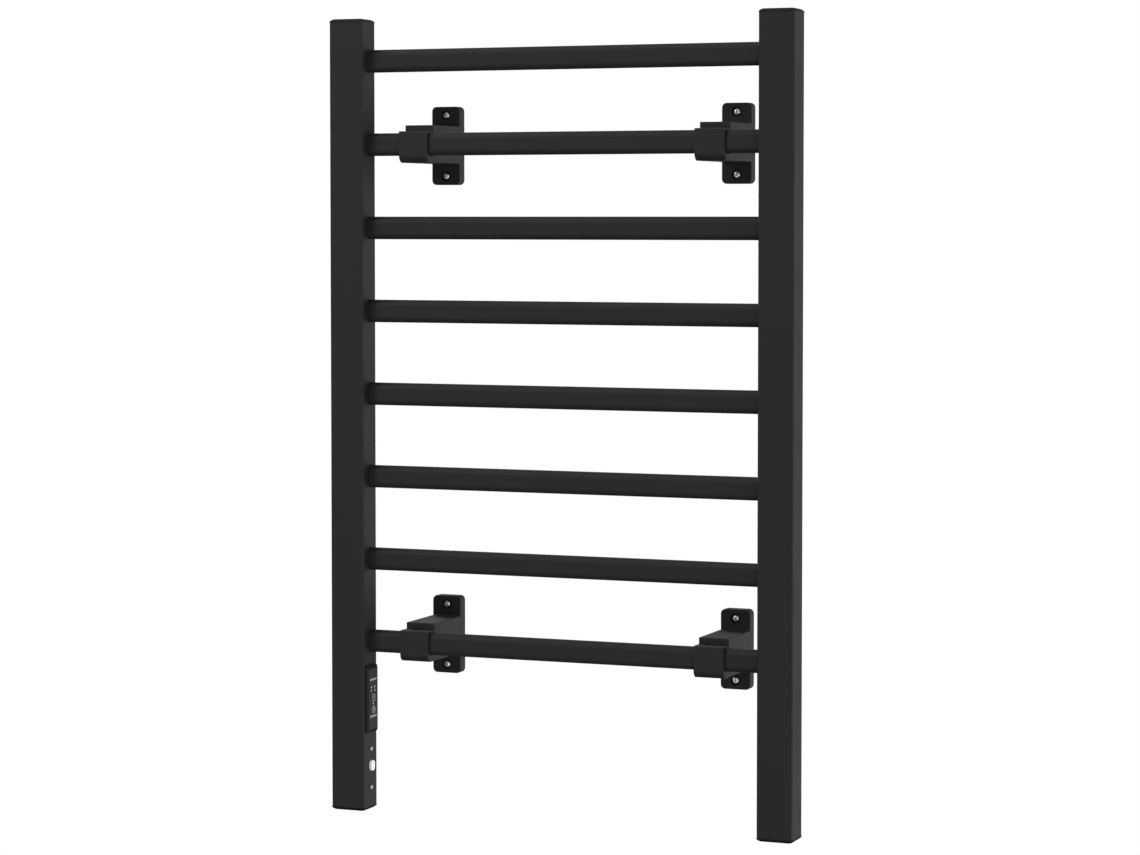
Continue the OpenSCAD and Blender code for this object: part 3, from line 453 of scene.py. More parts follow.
board_green = covered_finish("board_lacquer", (0.012, 0.10, 0.035), 0.3, (3, 0.3, 0.2, 15), 0.004)
board_tree = board_green.node_tree
board_shader = board_tree.nodes["Principled BSDF"]
lacquer = board_shader.inputs["Base Color"].links[0].from_socket
turned_point = add(board_tree, "ShaderNodeVectorRotate",
                   {"Vector": in_millimetres(board_tree), "Angle": math.radians(90)},
                   rotation_type="Y_AXIS")
tracks = add(board_tree, "ShaderNodeTexBrick",
             {"Vector": turned_point.outputs[0], "Scale": 0.5, "Mortar Size": 0.12,
              "Brick Width": 6.0, "Row Height": 0.9})
track_tone = (0.03, 0.20, 0.06, 1)
tracked = mix_colours(board_tree, tracks.outputs["Fac"], lacquer, track_tone)
board_tree.links.new(tracked, board_shader.inputs["Base Color"])
print("materials, with those of the frame:", len(bpy.data.materials))

# %% [markdown]
# ## Tools for making skins
# Three ways of making a closed skin are enough for nearly every new piece. A loft joins
# rings with the same number of points. A turned skin is a loft of circles. A prism pushes
# one outline straight through. Holes are cut with the Boolean modifier, edges are broken
# with the Bevel modifier, and each result is written back into the mesh before the next
# step. Cutters stand a little past what they cut, because faces in one plane confuse a
# Boolean.

# %% Outlines
def arc(centre, radius, start, end, steps):
    """Points of an arc, angles in degrees."""
    angles = [math.radians(start + (end - start) * k / steps) for k in range(steps + 1)]
    return [(centre[0] + radius * math.cos(a), centre[1] + radius * math.sin(a)) for a in angles]


def rounded_rectangle(width, height, radius, steps=6):
    u, v = width / 2 - radius, height / 2 - radius
    return (arc((u, v), radius, 0, 90, steps) + arc((-u, v), radius, 90, 180, steps)
            + arc((-u, -v), radius, 180, 270, steps) + arc((u, -v), radius, 270, 360, steps))


def circle(radius, steps):
    return [(radius * math.cos(2 * math.pi * k / steps), radius * math.sin(2 * math.pi * k / steps))
            for k in range(steps)]


# %% Skins
def loft(bm, rings, place):
    """Joins (outline, height) rings into a closed skin. place turns u, v, height into a point."""
    rows = [[bm.verts.new(place(u, v, height)) for u, v in outline] for outline, height in rings]
    faces = [bm.faces.new(rows[0]), bm.faces.new(rows[-1])]
    for low, high in zip(rows, rows[1:]):
        for k in range(len(low)):
            faces.append(bm.faces.new((low[k - 1], low[k], high[k], high[k - 1])))
    bmesh.ops.recalc_face_normals(bm, faces=faces)


def turned(bm, profile, place, steps=32):
    """A turned skin from (radius, height) pairs."""
    loft(bm, [(circle(radius, steps), height) for radius, height in profile], place)


def upright(u, v, height):
    return Vector((u, v, height))


# %% Pieces
def new_piece(name, bm):
    mesh = bpy.data.meshes.new(name)
    bm.to_mesh(mesh)
    bm.free()
    piece = bpy.data.objects.new(name, mesh)
    bpy.context.scene.collection.objects.link(piece)
    return piece


def settle(piece):
    """Writes a piece's modifiers into its mesh."""
    bpy.context.view_layer.update()
    graph = bpy.context.evaluated_depsgraph_get()
    shaped = bpy.data.meshes.new_from_object(piece.evaluated_get(graph))
    piece.modifiers.clear()
    piece.data = shaped


# %% Holes and soft edges
def carve(piece, *cutters, operation="DIFFERENCE"):
    for cutter in cutters:
        step = piece.modifiers.new("carve", "BOOLEAN")
        step.operation = operation
        step.solver = "EXACT"
        step.object = cutter
        settle(piece)
        bpy.data.objects.remove(cutter)


def break_edges(piece, width, steps=2, above=35):
    """Rounds every edge that turns by more than the angle above."""
    step = piece.modifiers.new("edges", "BEVEL")
    step.width = width
    step.segments = steps
    step.limit_method = "ANGLE"
    step.angle_limit = math.radians(above)
    step.use_clamp_overlap = True
    settle(piece)


# %% Dress a piece: finish, shading, body and the node that it stands for
def dress(piece, finish, body, slot, *nodes, smooth_below=32):
    piece.data.materials.clear()
    piece.data.materials.append(finish)
    piece.data.shade_smooth()
    piece.data.set_sharp_from_angle(angle=math.radians(smooth_below))
    weigh = piece.modifiers.new("even_shading", "WEIGHTED_NORMAL")
    weigh.keep_sharp = True
    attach(piece, body)
    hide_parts(*nodes)
    print(piece.name, "has", len(piece.data.polygons), "faces")


# %% [markdown]
# ## End caps
# Each post end is closed by a moulded cap: a thin rim that stands out half a millimetre
# around the tube, a low crown that falls away to the edges, and a skirt that plugs into the
# post. The CAD cap has a stepped crown, so a lofted one takes its place, with many rings
# along a smooth fall and a softly rounded rim. The lower caps take a darker copy of the same
# plastic that mirrors less: this is painted shade, and it closes the posts with a plain black line.

# %% Sizes of a cap
cap_rim = 1.1 * mm
cap_crown = 2.5 * mm
cap_slope = 4.4 * mm
cap_edge = 0.3 * mm
cap_edge_middle = 0.3 * cap_edge
cap_corner = 2.5 * mm
skirt_wall = 1.6 * mm
skirt_set_back = 1.75 * mm
skirt_corner = 0.6 * mm
hollow_corner = 0.4 * mm
hollow_top = -0.4 * mm
crown_rings = 9
crown_steepness = 2.2
crown_flat_from = 2.2 * cap_slope
crown_last_rise = 0.1 * mm
print("a cap rises", round((cap_rim + cap_crown) / mm, 2), "mm above its post")


# %% The rings of a cap
def cap_rings(width, depth, skirt, inner):
    """Rings from the inside of the skirt, around its end, over the rim and up the crown."""
    def ring(inset, height, corner=cap_corner):
        return rounded_rectangle(width - 2 * inset, depth - 2 * inset, corner), height

    rings = [ring(inner + skirt_wall, hollow_top, hollow_corner),
             ring(inner + skirt_wall, -skirt, hollow_corner),
             ring(inner, -skirt, skirt_corner),
             ring(inner, 0, skirt_corner),
             ring(cap_edge, 0),
             ring(0, cap_edge),
             ring(0, cap_rim - cap_edge),
             ring(cap_edge_middle, cap_rim - cap_edge_middle),
             ring(cap_edge, cap_rim)]
    for k in range(1, crown_rings + 1):
        share = k / crown_rings
        rise = 1 - (1 - share) ** crown_steepness
        rings.append(ring(cap_edge + (cap_slope - cap_edge) * share,
                          cap_rim + (cap_crown - crown_last_rise) * rise))
    rings.append(ring(crown_flat_from, cap_rim + cap_crown))
    return rings


# %% Make the caps
def make_cap(node, post, at_top, plastic):
    low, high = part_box(node)
    post_low, post_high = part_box(post)
    seat = post_high.z if at_top else post_low.z
    way = 1 if at_top else -1
    skirt = (seat - low.z) if at_top else (high.z - seat)
    inner = (high.x - low.x - (post_high.x - post_low.x)) / 2 + skirt_set_back
    middle = (low + high) / 2
    bm = bmesh.new()
    loft(bm, cap_rings(high.x - low.x, high.y - low.y, skirt, inner),
         lambda u, v, height: Vector((middle.x + u, middle.y + v, seat + way * height)))
    dress(new_piece(node.replace("cap", "end_cap"), bm), plastic, "rack", "black_plastic", node)


# The lower caps get the painted-shade copy of the plastic, the upper ones the plain plastic
for side in ("left", "right"):
    make_cap(f"cap_top_{side}", f"{side}_post", True, black_plastic)
    make_cap(f"cap_bottom_{side}", f"{side}_post", False, shaded_lower_cap_plastic)

# %% [markdown]
# ## Wall brackets
# A bracket is one hollow casting: a wall plate with round corners, and an arm that reaches
# forward to the bar. Seen from the side it is a lying T, and seen from the front a rounded
# rectangle, so its body is what two prisms share: the T pushed sideways and the rectangle
# pushed forward. The Bevel modifier then rounds its edges and fills the inner corners where
# the arm meets the plate, as a casting mould does. The screw seats come last, cut by turned
# shapes that leave a small chamfer on each rim.

# %% Sizes of a bracket
plate_thick = 13 * mm
plate_corner = 5 * mm
arm_above = 20.4 * mm
arm_below = 19.4 * mm
arm_wall = 3.5 * mm
arm_nose = 20 * mm
seat_width = 10.8 * mm
seat_depth = 3 * mm
screw_hole = 4.6 * mm
seat_rim = 0.12 * mm
casting_edge = 0.7 * mm
tongue_width = 18 * mm
tongue_long = 15 * mm
tongue_thick = 4 * mm
tab_long = 3 * mm
lip_thick = 1.4 * mm
slip = 0.15 * mm
clamp_thread = 4 * mm
clamp_long = 9 * mm
bar_run = 0.3 * mm
bar_tall = 24 * mm
lip_level = bar_tall / 2 + bar_run
bracket_places = {f"{level}_{side}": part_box(f"bracket_{level}_{side}")
                  for level in ("upper", "lower") for side in ("left", "right")}
bracket_width = bracket_places["upper_left"][1].x - bracket_places["upper_left"][0].x
plate_height = bracket_places["upper_left"][1].z - bracket_places["upper_left"][0].z
arm_front = bracket_places["upper_left"][0].y
screw_rise = 32.5 * mm
past = 1 * mm
print("plate", round(bracket_width / mm, 1), "by", round(plate_height / mm, 1), "mm, arm reaches",
      round(-arm_front / mm, 2), "mm")


# %% Blocks and prisms
def block(name, low, high):
    bm = bmesh.new()
    outline = [(low[0], low[1]), (high[0], low[1]), (high[0], high[1]), (low[0], high[1])]
    loft(bm, [(outline, low[2]), (outline, high[2])], upright)
    return new_piece(name, bm)


def side_prism(name, outline, half_width):
    """Pushes a Y-Z outline sideways, along X."""
    bm = bmesh.new()
    loft(bm, [(outline, -half_width), (outline, half_width)],
         lambda y, z, x: Vector((x, y, z)))
    return new_piece(name, bm)


def front_prism(name, outline, from_y, to_y):
    """Pushes an X-Z outline forward, along Y."""
    bm = bmesh.new()
    loft(bm, [(outline, from_y), (outline, to_y)], lambda x, z, y: Vector((x, y, z)))
    return new_piece(name, bm)


# %% Turned cutters
def screw_seat(name, z):
    """Cutter for a counterbored hole along Y, with a chamfer at each rim."""
    hole, seat = screw_hole / 2, seat_width / 2
    profile = [(hole + seat_rim, past), (hole + seat_rim, 0), (hole, -seat_rim),
               (hole, -plate_thick + seat_depth), (seat, -plate_thick + seat_depth),
               (seat, -plate_thick + seat_rim), (seat + seat_rim, -plate_thick),
               (seat + seat_rim, -plate_thick - 2 * past)]
    bm = bmesh.new()
    turned(bm, profile, lambda u, v, y: Vector((u, y, z + v)), steps=40)
    return new_piece(name, bm)


def upright_rod(name, profile, y):
    """A turned cutter that stands along Z."""
    bm = bmesh.new()
    turned(bm, profile, lambda u, v, z: Vector((u, y + v, z)))
    return new_piece(name, bm)


# %% Cast one bracket, with its middle at x = 0 and its bar at z = 0
def cast_bracket():
    far_past = 5 * past
    t_high = plate_height / 2 + far_past
    t_outline = [(far_past, -t_high), (-plate_thick, -t_high), (-plate_thick, -arm_below),
                 (arm_front, -arm_below), (arm_front, arm_above), (-plate_thick, arm_above),
                 (-plate_thick, t_high), (far_past, t_high)]
    casting = front_prism("casting", rounded_rectangle(bracket_width, plate_height, plate_corner),
                          0, arm_front - far_past)
    carve(casting, side_prism("t_shape", t_outline, bracket_width), operation="INTERSECT")
    break_edges(casting, casting_edge, steps=3)
    half_inside = bracket_width / 2 - arm_wall
    half_seat = tongue_width / 2 + slip
    seat_top = -arm_below + tongue_thick
    thread = [(clamp_thread / 2, seat_top - past), (clamp_thread / 2, seat_top + clamp_long)]
    carve(casting,
          block("hollow", (-half_inside, arm_front + arm_nose, -arm_below + arm_wall),
                (half_inside, past, arm_above - arm_wall)),
          block("tongue_seat", (-half_seat, arm_front - past, -arm_below - past),
                (half_seat, arm_front + tongue_long + slip, seat_top)),
          block("tab_slot", (-half_seat, arm_front - past, lip_level - slip),
                (half_seat, arm_front + tab_long + slip, lip_level + lip_thick + slip)),
          upright_rod("clamp_thread", thread, arm_front + tongue_long / 2),
          screw_seat("upper_seat", screw_rise), screw_seat("lower_seat", -screw_rise))
    return casting


casting = cast_bracket()
print("casting has", len(casting.data.polygons), "faces")

# %% Hang the four brackets
def moved_copy(name, source, offset):
    bm = bmesh.new()
    bm.from_mesh(source.data)
    bmesh.ops.translate(bm, vec=offset, verts=bm.verts)
    return new_piece(name, bm)


bar_of = {"upper": "bar_2", "lower": "bar_8"}
for place, (low, high) in bracket_places.items():
    bar_low, bar_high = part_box(bar_of[place.split("_")[0]])
    offset = Vector(((low.x + high.x) / 2, 0, (bar_low.z + bar_high.z) / 2))
    dress(moved_copy(f"wall_bracket_{place}", casting, offset), black_casting, "wall_brackets",
          "black_casting", f"bracket_{place}")
bpy.data.objects.remove(casting)

# %% [markdown]
# ## Hooks
# A hook is a bent and cast clip: from the side it is a C that is open towards the arm, with a
# thick, well rounded lower corner and a thin lip above the bar. The bar passes through it
# with 0.3 mm to spare. One outline, walked around its outside and back along its inside,
# gives the curved part. A tongue under the arm takes the clamp screw, and a short tab holds
# the lip in a slot of the arm: both are blocks that the Boolean modifier joins on.

# %% The outline of a hook, with its bar at y = 0 and z = 0
hook_wall = 2.2 * mm
hook_low_corner = 8 * mm
hook_top_corner = 1.2 * mm
bar_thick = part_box("bar_1")[1].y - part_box("bar_1")[0].y
bar_middle_y = (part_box("bar_1")[1].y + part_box("bar_1")[0].y) / 2
print("bars are", round(bar_thick / mm, 1), "mm deep")


def hook_outline():
    front = -bar_thick / 2 - bar_run - hook_wall
    back = arm_front - bar_middle_y
    inside = lip_level
    top = inside + lip_thick
    end_radius = bar_thick / 2 + bar_run
    outside = ([(back, -arm_below)]
               + arc((front + hook_low_corner, -arm_below + hook_low_corner), hook_low_corner,
                     270, 180, steps=10)
               + arc((front + hook_top_corner, top - hook_top_corner), hook_top_corner,
                     180, 90, steps=4)
               + [(back, top)])
    return (outside + [(back, inside)]
            + arc((0, inside - end_radius), end_radius, 90, 180, steps=10)
            + arc((0, -inside + end_radius), end_radius, 180, 270, steps=10)
            + [(back, -inside)])


# %% Bend one hook
hook_edge = 0.35 * mm
clamp_head_width = 7 * mm
clamp_head_height = 2 * mm
clamp_seat_rim = 0.2 * mm


def bend_hook():
    hook = side_prism("hook", hook_outline(), bracket_width / 2)
    break_edges(hook, hook_edge, steps=2, above=50)
    back = arm_front - bar_middle_y
    half_tongue = tongue_width / 2
    carve(hook,
          block("tongue", (-half_tongue, back - past, -arm_below),
                (half_tongue, back + tongue_long, -arm_below + tongue_thick)),
          block("tab", (-half_tongue, back - past, lip_level),
                (half_tongue, back + tab_long, lip_level + lip_thick)), operation="UNION")
    hole, head_seat = clamp_thread / 2 + slip, clamp_head_width / 2 + slip
    rim = head_seat + clamp_seat_rim
    profile = [(rim, -arm_below - past), (rim, -arm_below),
               (head_seat, -arm_below + clamp_seat_rim),
               (head_seat, -arm_below + clamp_head_height),
               (hole, -arm_below + clamp_head_height), (hole, -arm_below + 2 * tongue_thick)]
    carve(hook, upright_rod("clamp_hole", profile, back + tongue_long / 2))
    return hook


hook = bend_hook()
print("hook has", len(hook.data.polygons), "faces")

# %% Hang the four hooks
for place, (low, high) in bracket_places.items():
    bar_low, bar_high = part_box(bar_of[place.split("_")[0]])
    offset = Vector(((low.x + high.x) / 2, bar_middle_y, (bar_low.z + bar_high.z) / 2))
    dress(moved_copy(f"bar_hook_{place}", hook, offset), black_casting, "wall_brackets",
          "black_casting", f"hook_{place}")
bpy.data.objects.remove(hook)

# %% [markdown]
# ## Screws
# Every screw has a domed head, turned from a quarter of an ellipse and a flat crown. The
# recess for the driver is cut by a plus-shaped plug that narrows with depth to a small
# point: a flat floor would mirror the same light as the head and the cross would be lost.
# The wall screws show their thread behind the plates: its skin is a grid of rings whose
# radius rises and falls as a helix passes by.

# %% Heads and driver recesses
def plus_outline(reach, half_slot):
    quarter = [(reach, -half_slot), (reach, half_slot), (half_slot, half_slot)]
    turns = [(1, 0), (0, 1), (-1, 0), (0, -1)]
    return [(u * c - v * s, u * s + v * c) for c, s in turns for u, v in quarter]


# Shares of the head's radius and height
dome_wide, dome_high = 0.36, 0.72
crown_wide, crown_flat = 0.45, 0.25
recess_floor = -0.1
# The cross of the recess in shares of the head's width, its floor and mouth in shares of it
cross_reach, cross_half_slot = 0.3, 0.07
floor_reach, floor_slot = 0.3, 0.5
mouth_reach, mouth_slot = 1.05, 1.15
mouth_past = 0.2 * mm
head_rim = 0.15 * mm
dome_points = 7
dome_degrees = 13
crown_drop = 0.12 * mm
crown_edge_drop = 0.03 * mm
neck_end = 0.2 * mm
# Share of the neck's radius that is left at its end
neck_end_wide = 0.8


def screw_head(name, head_width, head_height, neck_width, neck_long):
    """A domed head that stands on z = 0, with its neck below."""
    radius, neck = head_width / 2, neck_width / 2
    edge_wide, edge_high = radius * dome_wide, head_height * dome_high
    crown = head_height - crown_drop
    profile = [(neck * neck_end_wide, -neck_long), (neck, -neck_long + neck_end), (neck, 0),
               (radius - head_rim, 0), (radius, head_rim)]
    profile += [(radius - edge_wide * (1 - math.cos(a)), crown - edge_high * (1 - math.sin(a)))
                for a in (math.radians(dome_degrees * k) for k in range(dome_points))]
    profile += [(radius * crown_wide, head_height - crown_edge_drop),
                (radius * crown_flat, head_height)]
    bm = bmesh.new()
    turned(bm, profile, upright, steps=36)
    head = new_piece(name, bm)
    reach, half_slot = head_width * cross_reach, head_width * cross_half_slot
    bm = bmesh.new()
    loft(bm, [(plus_outline(reach * floor_reach, half_slot * floor_slot),
               head_height * recess_floor),
              (plus_outline(reach * mouth_reach, half_slot * mouth_slot),
               head_height + mouth_past)], upright)
    carve(head, new_piece("driver_recess", bm))
    return head


# %% Many screws in one piece
def repeated(name, parts, places):
    """One piece that holds every part at every place."""
    bm = bmesh.new()
    for place in places:
        for part in parts:
            first = len(bm.verts)
            bm.from_mesh(part.data)
            bm.verts.ensure_lookup_table()
            bmesh.ops.transform(bm, matrix=place, verts=bm.verts[first:])
    for part in parts:
        bpy.data.objects.remove(part)
    return new_piece(name, bm)


# %% [markdown]
# The thread could be a bent strip wound round the core, but its ends and its seam would need
# mending. A grid of rings is closed from the start: each point asks how far the helix is
# from it, and stands out where the ridge runs. Towards the end the screw narrows to a point.

# %% The thread of a wall screw
thread_pitch = 1.9 * mm
thread_crest = 2.0 * mm
thread_core = 1.45 * mm
screw_low, screw_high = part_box("wall_screws")
thread_long = screw_high.y
thread_point = 4 * mm
point_left_blunt = 0.12
ridge_half_wide = 0.24


def wood_thread(name, start, length):
    steps, rows_a_turn = 20, 9
    rows = round(length / thread_pitch * rows_a_turn)
    rings = []
    for row in range(rows + 1):
        depth = length * row / rows
        slim = min(1, (length - depth) / thread_point + point_left_blunt)
        ring = []
        for k in range(steps):
            phase = (depth / thread_pitch - k / steps) % 1
            ridge = max(0, 1 - abs(phase - 0.5) / ridge_half_wide)
            radius = (thread_core + (thread_crest - thread_core) * ridge) * slim
            angle = 2 * math.pi * k / steps
            ring.append((radius * math.cos(angle), radius * math.sin(angle)))
        rings.append((ring, start - depth))
    bm = bmesh.new()
    loft(bm, rings, upright)
    return new_piece(name, bm)


# %% Drive in the wall screws
wall_head_width = 7.4 * mm
wall_head_height = 2.6 * mm
wall_neck_width = 3.4 * mm
wall_neck_long = -screw_low.y - wall_head_height
# Each screw stops at its own angle, in degrees
first_turn = 20
turn_more = 37
wall_screw_places = []
for low, high in bracket_places.values():
    middle = (low + high) / 2
    for end in (1, -1):
        place = Vector((middle.x, screw_low.y + wall_head_height, middle.z + end * screw_rise))
        degrees = first_turn + turn_more * len(wall_screw_places)
        turn = Matrix.Rotation(math.radians(degrees), 4, "Z")
        wall_screw_places.append(Matrix.Translation(place)
                                 @ Matrix.Rotation(math.radians(90), 4, "X") @ turn)
wall_screw_parts = [
    screw_head("wall_head", wall_head_width, wall_head_height, wall_neck_width, wall_neck_long),
    wood_thread("wall_thread", -wall_neck_long, thread_long)]
dress(repeated("wall_screw_set", wall_screw_parts, wall_screw_places), bright_steel,
      "wall_brackets", "bright_steel", "wall_screws")

# %% Drive in the screws behind the posts, one for each bar end
anchor_head_width = 7.2 * mm
anchor_head_height = 2.2 * mm
anchor_neck_width = 3.8 * mm
anchor_turn_more = 53
bar_count = 8
for side in ("left", "right"):
    low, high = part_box(f"anchor_screws_{side}")
    post_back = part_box(f"{side}_post")[1].y
    places = []
    for number in range(1, bar_count + 1):
        bar_low, bar_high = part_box(f"bar_{number}")
        place = Vector(((low.x + high.x) / 2, post_back, (bar_low.z + bar_high.z) / 2))
        places.append(Matrix.Translation(place) @ Matrix.Rotation(math.radians(-90), 4, "X")
                      @ Matrix.Rotation(math.radians(anchor_turn_more * number), 4, "Z"))
    head = screw_head("anchor_head", anchor_head_width, anchor_head_height,
                      anchor_neck_width, post_back - low.y)
    dress(repeated(f"anchor_screw_set_{side}", [head], places), bright_steel, "rack",
          "bright_steel", f"anchor_screws_{side}")

# %% Drive in the two screws of the inlet's carrier
low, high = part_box("carrier_screws")
carrier_head_width = high.y - low.y
carrier_head_height = 2 * mm
carrier_neck_width = 2.9 * mm
carrier_turn = 12
carrier_places = []
for end_z in (low.z + carrier_head_width / 2, high.z - carrier_head_width / 2):
    place = Vector((high.x - carrier_head_height, (low.y + high.y) / 2, end_z))
    carrier_places.append(Matrix.Translation(place) @ Matrix.Rotation(math.radians(90), 4, "Y")
                          @ Matrix.Rotation(math.radians(carrier_turn), 4, "Z"))
head = screw_head("carrier_head", carrier_head_width, carrier_head_height,
                  carrier_neck_width, high.x - carrier_head_height - low.x)
dress(repeated("carrier_screw_set", [head], carrier_places), dull_steel, "rack",
      "bright_steel", "carrier_screws")

# %% [markdown]
# ## The control module
# A shallow black housing stands on the inner face of the left post, with chamfered edges and
# a dark face let into it. Two round keys carry a pale ring each, five small light guides
# end flush with the face, and two pale strips are left bare of any wording. The housing
# could be a block with a pocket cut into it, but then every edge would be broken the same
# way. As one loft, from the pocket over the rim to the back, each edge has its own width.

# %% Sizes of the module
post_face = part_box("left_post")[1].x
low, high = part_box("control_housing")
panel_wide, panel_tall = high.y - low.y, high.z - low.z
panel_proud = high.x - post_face
panel_middle = Vector((post_face, (low.y + high.y) / 2, (low.z + high.z) / 2))
face_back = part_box("control_face")[0].x - post_face
tray_back = low.x - post_face
tray_ledge = 2.2 * mm
tray_wall = 1.2 * mm
face_border = 1.4 * mm
panel_chamfer = 1.2 * mm
tray_corner = 0.5 * mm
pocket_corner = 0.3 * mm
outer_corner = 1.0 * mm
soft_edge = 0.12 * mm
print("module:", round(panel_wide / mm, 1), "by", round(panel_tall / mm, 1), "mm, proud by",
      round(panel_proud / mm, 2), "mm")


# %% The housing
def rounded_box_rings(sizes):
    """Rings from (width, height, corner, level) rows."""
    return [(rounded_rectangle(width, height, corner, steps=4), level)
            for width, height, corner, level in sizes]


def on_panel(u, v, height):
    return panel_middle + Vector((height, u, v))


def housing_row(inset, corner, level):
    return panel_wide - 2 * inset, panel_tall - 2 * inset, corner, level


housing_rows = [
    # The tray inside, the step that the face lies on, and the wall around the face
    housing_row(tray_ledge + tray_wall, tray_corner, tray_back + tray_wall),
    housing_row(tray_ledge + tray_wall, tray_corner, face_back),
    housing_row(face_border, pocket_corner, face_back),
    housing_row(face_border, pocket_corner, panel_proud - 0.15 * mm),
    # The narrow rim in front, and the chamfer down to the sides
    housing_row(face_border - soft_edge, 0.4 * mm, panel_proud),
    housing_row(panel_chamfer + 0.1 * mm, 0.5 * mm, panel_proud),
    housing_row(panel_chamfer - 0.1 * mm, 0.6 * mm, panel_proud - soft_edge),
    housing_row(soft_edge, 0.9 * mm, panel_proud - panel_chamfer),
    # The sides, and the tray's back behind the post's face
    housing_row(0, outer_corner, panel_proud - panel_chamfer - 0.2 * mm),
    housing_row(0, outer_corner, 0),
    housing_row(tray_ledge, tray_corner, 0),
    housing_row(tray_ledge, tray_corner, tray_back)]
bm = bmesh.new()
loft(bm, rounded_box_rings(housing_rows), on_panel)
print("housing skin:", len(bm.faces), "faces")

# %% [markdown]
# Both ends of the module fall away towards the post: one long slope runs over the rim of the
# housing and over the ends of the face. Level rings can't make it, so each skin is bisected
# by the plane of the slope, what lies outside is cleared, and one new face closes the cut.
# The face is a flat plate with holes, so its skin starts as a copy of the CAD part, whose
# doubled corner points are first welded.

# %% Slope the ends of the housing and of the face
end_slope_tall = 3.2 * mm
end_slope_deep = 1.8 * mm


def slope_ends(bm):
    """Cuts both ends, then merges what lies in one plane, so no thin slivers are left."""
    for way in (1, -1):
        edge_z = panel_middle.z + way * (panel_tall / 2 - end_slope_tall)
        cut = bmesh.ops.bisect_plane(
            bm, geom=bm.verts[:] + bm.edges[:] + bm.faces[:], clear_outer=True,
            plane_co=(post_face + panel_proud, 0, edge_z),
            plane_no=(end_slope_tall, 0, way * end_slope_deep))
        rim = [part for part in cut["geom_cut"] if isinstance(part, bmesh.types.BMEdge)]
        bmesh.ops.contextual_create(bm, geom=rim)
    bmesh.ops.dissolve_limit(bm, angle_limit=math.radians(0.1), verts=bm.verts, edges=bm.edges)
    bmesh.ops.triangulate(bm, faces=bm.faces, ngon_method="BEAUTY")
    bmesh.ops.recalc_face_normals(bm, faces=bm.faces)
    print("open edges after the cut:", sum(edge.is_boundary for edge in bm.edges))


slope_ends(bm)
dress(new_piece("module_housing", bm), black_plastic, "rack", "black_plastic", "control_housing",
      smooth_below=25)

bm = bmesh.new()
bm.from_mesh(frame["nodes"]["control_face"].data)
bmesh.ops.remove_doubles(bm, verts=bm.verts, dist=0.001 * mm)
slope_ends(bm)
dress(new_piece("module_face", bm), face_plastic, "rack", "face_plastic", "control_face",
      smooth_below=25)

# %% [markdown]
# A key is a round button: a flat front with a rounded edge, a shallow groove for its pale
# ring, and a stem that reaches the switch behind. A cylinder would need its edge rounded and
# its groove cut, while one turned profile holds both. Two ears, the ends of a small plate,
# keep the key from falling out of the face. Each key rides on its own body, so it moves with
# its joint.

# %% The keys
key_radius = 4.8 * mm
ring_outer = 4.075 * mm
ring_inner = 3.225 * mm
ring_deep = 0.25 * mm
key_edge = 0.4 * mm
stem_radius = 1.5 * mm
stem_chamfer = 0.3 * mm
flange_thick = 1.2 * mm
ear_high = 5 * mm
ear_thick = 0.9 * mm
ear_corner = 0.6 * mm
key_centre = 1 * mm


def make_key(name, node, body):
    low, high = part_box(node)
    middle = (low + high) / 2
    front, back = high.x - middle.x, low.x - middle.x
    flange = face_back + post_face - flange_thick - middle.x
    profile = [(stem_radius - stem_chamfer, back), (stem_radius, back + stem_chamfer),
               (stem_radius, flange), (key_radius, flange), (key_radius, front - key_edge),
               (key_radius - soft_edge, front - soft_edge), (key_radius - key_edge, front),
               (ring_outer, front), (ring_outer, front - ring_deep),
               (ring_inner, front - ring_deep), (ring_inner, front), (key_centre, front)]
    bm = bmesh.new()
    turned(bm, profile, lambda u, v, x: middle + Vector((x, u, v)), steps=48)
    outline = rounded_rectangle(high.y - low.y, ear_high, ear_corner, steps=3)
    loft(bm, [(outline, flange), (outline, flange + ear_thick)],
         lambda u, v, x: middle + Vector((x, u, v)))
    dress(new_piece(name, bm), face_plastic, body, "face_plastic", node)


make_key("timer_key_cap", "timer_button", "timer_key")
make_key("power_key_cap", "power_button", "power_key")

# %% [markdown]
# Five light guides carry the light of the board's lamps to the face: pegs of milky plastic,
# four in a square and one between the keys. They are turned, with a slightly domed end that
# is level with the face. They share one piece, because nothing moves between them.

# %% The light guides
light_radius = 0.9 * mm
light_row_gap = 3.6 * mm
light_low, light_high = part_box("indicator_lights")
light_rows = (light_high.z - light_radius, light_high.z - light_radius - light_row_gap)
light_spots = [(y, z) for y in (light_low.y + light_radius, light_high.y - light_radius)
               for z in light_rows]
light_spots.append(((light_low.y + light_high.y) / 2, light_low.z + light_radius))
bm = bmesh.new()
for y, z in light_spots:
    turned(bm, [(light_radius * 0.9, light_low.x), (light_radius, light_low.x + 0.1 * mm),
                (light_radius, light_high.x - 0.2 * mm),
                (light_radius * 0.8, light_high.x - 0.06 * mm),
                (light_radius * 0.3, light_high.x)],
           lambda u, v, x, y=y, z=z: Vector((x, y + u, z + v)), steps=24)
dress(new_piece("light_guides", bm), light_guide, "rack", "light_guide", "indicator_lights")

# %% [markdown]
# ## The inlet
# Below the module a small white inlet takes the plug. Its outline is two round lobes, one
# above the other, and two pins stand in holes at their middles. Two joined cylinders would
# give the lobes, but a rounded front edge that runs on through the waist comes easier from a
# loft of one outline at several sizes. The two holes are cut through it.

